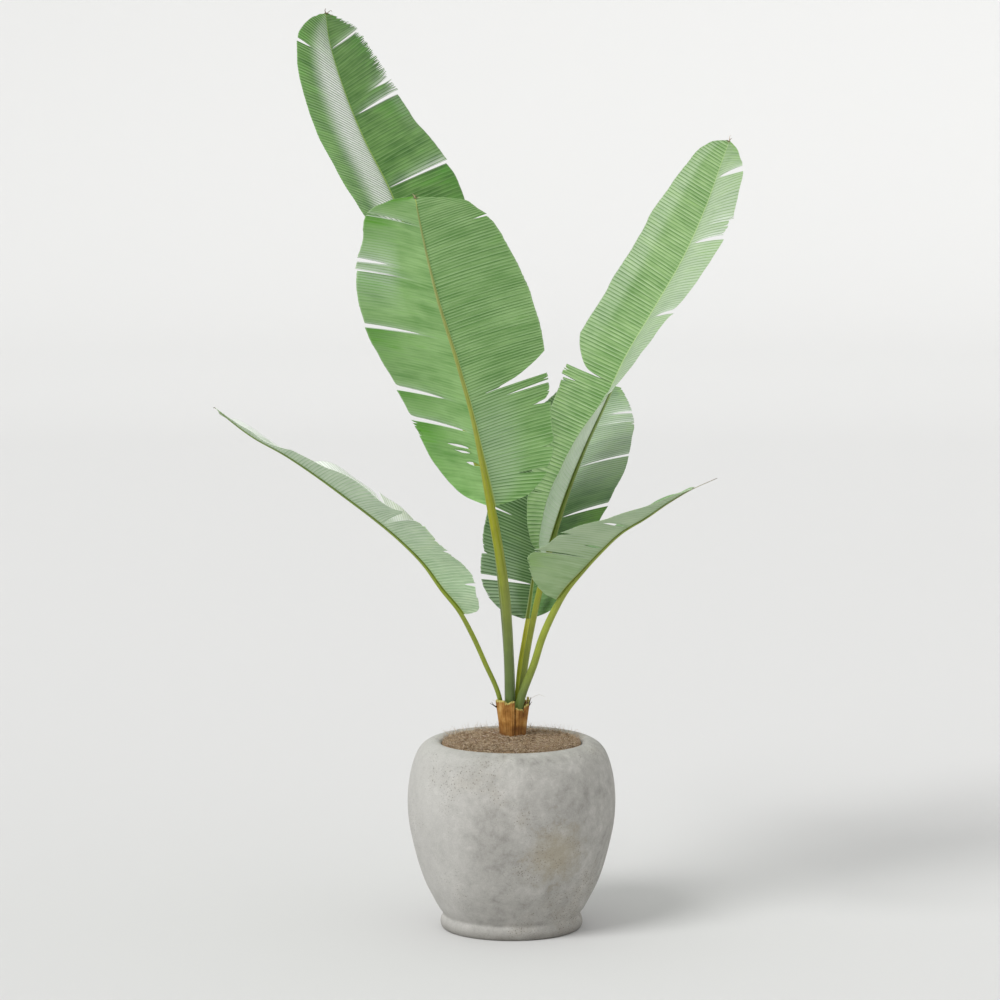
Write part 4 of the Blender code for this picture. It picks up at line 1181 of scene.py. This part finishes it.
# Old leaf sheath, dried on the plant: tan and orange-brown, darker towards the soil.
sheath_skin, tree, shader = new_material("dried leaf sheath")
values = add(tree, "SeparateXYZ", {0: add(tree, "Attribute", attribute_name="sheath").outputs["Vector"]})
around = add(tree, "Math", {0: values.outputs["X"], 1: 22.0}, operation="MULTIPLY")
upward = add(tree, "Math", {0: values.outputs["Y"], 1: 1.6}, operation="MULTIPLY")
grain_at = add(tree, "CombineXYZ", {0: around.outputs[0], 1: upward.outputs[0]})
grain = add(tree, "TexNoise", {"Vector": grain_at.outputs[0], "Scale": 1.0, "Detail": 5.0, "Roughness": 0.65})
place = add(tree, "TexCoord").outputs["Object"]
patches = add(tree, "TexNoise", {"Vector": place, "Scale": 60.0, "Detail": 3.0})
tone = add(tree, "Math", {0: grain.outputs["Fac"], 1: patches.outputs["Fac"]}, operation="ADD")
brown = add(tree, "ValToRGB", {0: add(tree, "MapRange", {"Value": tone.outputs[0], "From Min": 0.7,
                                                        "From Max": 1.3}).outputs[0]},
            stops=[(0.0, "#5e3814"), (0.35, "#93601f"), (0.65, "#b98540"), (1.0, "#d6ae68")])
low = add(tree, "MapRange", {"Value": values.outputs["Z"], "From Min": 0.372, "From Max": 0.400,
                             "To Min": 0.55, "To Max": 0.0})
darker_low = add(tree, "Mix", {"Factor": low.outputs[0], 6: brown.outputs["Color"], 7: "#5b3413"}, data_type="RGBA")
bump = add(tree, "Bump", {"Height": grain.outputs["Fac"], "Strength": 0.7, "Distance": 0.0012})
# The cut ends show paler, younger tissue.
at_end = add(tree, "MapRange", {"Value": values.outputs["Y"], "From Min": 0.955, "From Max": 0.99})
ended = add(tree, "Mix", {"Factor": at_end.outputs[0], 6: darker_low.outputs[2], 7: "#bfb062"}, data_type="RGBA")
join(tree, shader, Base_Color=ended.outputs[2], Normal=bump.outputs[0])
shader.inputs["Roughness"].default_value = 0.7
feet = [sheath_foot(index, *row, sheath_skin) for index, row in enumerate(SHEATHS)]
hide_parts("stump")

# %% The dark core between the feet, and the strands from the stump
def capped_tube(name, outline, centre, sides, squash, material):
    """A solid turned from (radius, height) rows, oval by squash, at a centre."""
    points, faces = turned_points(outline, sides)
    points = [(centre[0] + x, centre[1] + y * squash, z) for x, y, z in points]
    faces.append(tuple(reversed(range(sides))))
    faces.append(tuple(len(points) - sides + side for side in range(sides)))
    return new_piece(name, points, faces, [material])


core = capped_tube("stump_core", [(0.0190, 0.340), (0.0195, 0.380), (0.0235, 0.418)], STUMP_CENTRE, 32, 1.0,
                   sheath_skin)
set_values(core, "sheath", [(0.3 * point.co.x, 0.0, 0.372) for point in core.data.vertices])
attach(core, "root")

# Strands of dried leaf base, nearly black, curl away from the stump's shoulders.
def strand(start, *steps):
    """A strand from its start and its steps, in millimetres."""
    line = [np.array(start, float)]
    for step in steps:
        line.append(line[-1] + np.array(step, float))
    knots = np.linspace(0, 1, len(line))
    return spline(np.linspace(0, 1, 14), knots, np.array(line)) / 1000


strands = [
    (strand((-24, -8, 428), (-8, -4, 2), (-9, -4, 6)), 0.0017, 0.0),
    (strand((-25, -6, 424), (-7, -5, 5), (-6, -2, 9)), 0.0013, 0.02),
    (strand((-23, -10, 430), (-5, -3, 8), (-9, -4, 5)), 0.0005, 0.6),
    (strand((33, -8, 430), (2, -3, 8), (2, -1, 9)), 0.0017, 0.0),
    (strand((32, -10, 428), (4, -3, 6), (3, -2, 5)), 0.0012, 0.04),
    (strand((31, 0, 432), (8, -2, 12), (14, 0, 6), (12, 0, -5)), 0.0004, 0.8),
    (strand((-8, 22, 430), (-2, 4, 8), (0, 2, 10)), 0.0006, 0.5),
]
stump_threads = threads("stump_strands", strands, [fibre])

# %% Dried bits at the tips
# Each bit as its leaf, its t, its share of the width (below 0 on the pleated half), its steps in
# millimetres, its radius in metres and its tone.
DRY_BITS = (
    ("leaf_back", 1.0, 0.0, ((-1, 0, 5), (2, 0, 4)), 0.0011, 0.1),
    ("leaf_back", 0.995, 0.3, ((3, 0, 5), (5, 0, 3), (2, 0, -3)), 0.0009, 0.15),
    ("leaf_back", 0.990, 0.6, ((4, 0, 3), (3, 0, -3)), 0.0007, 0.3),
    ("leaf_front", 1.0, 0.0, ((-2, 0, 4), (-3, 0, 3)), 0.0012, 0.55),
    ("leaf_front", 1.0, 0.0, ((1, 0, 5), (3, 0, 1)), 0.0007, 0.2),
    ("leaf_upper_right", 1.0, 0.0, ((0, 0, 6), (2, 0, 6)), 0.0008, 0.6),
    ("leaf_upper_right", 1.0, 0.0, ((2, 0, 4), (3, 0, 1)), 0.0011, 0.25),
    ("leaf_behind", 1.0, 0.2, ((3, 0, 4), (5, 0, 0)), 0.0007, 0.7),
)
bits = []
for name, t, share, steps, radius, tone in DRY_BITS:
    side = 1 if share >= 0 else -1
    start = blade_points(leaves[name], np.array([t]), abs(share), side)[0] * 1000
    bits.append((strand(start, *steps), radius, tone))
dry_bits = threads("dry_leaf_bits", bits, [fibre])
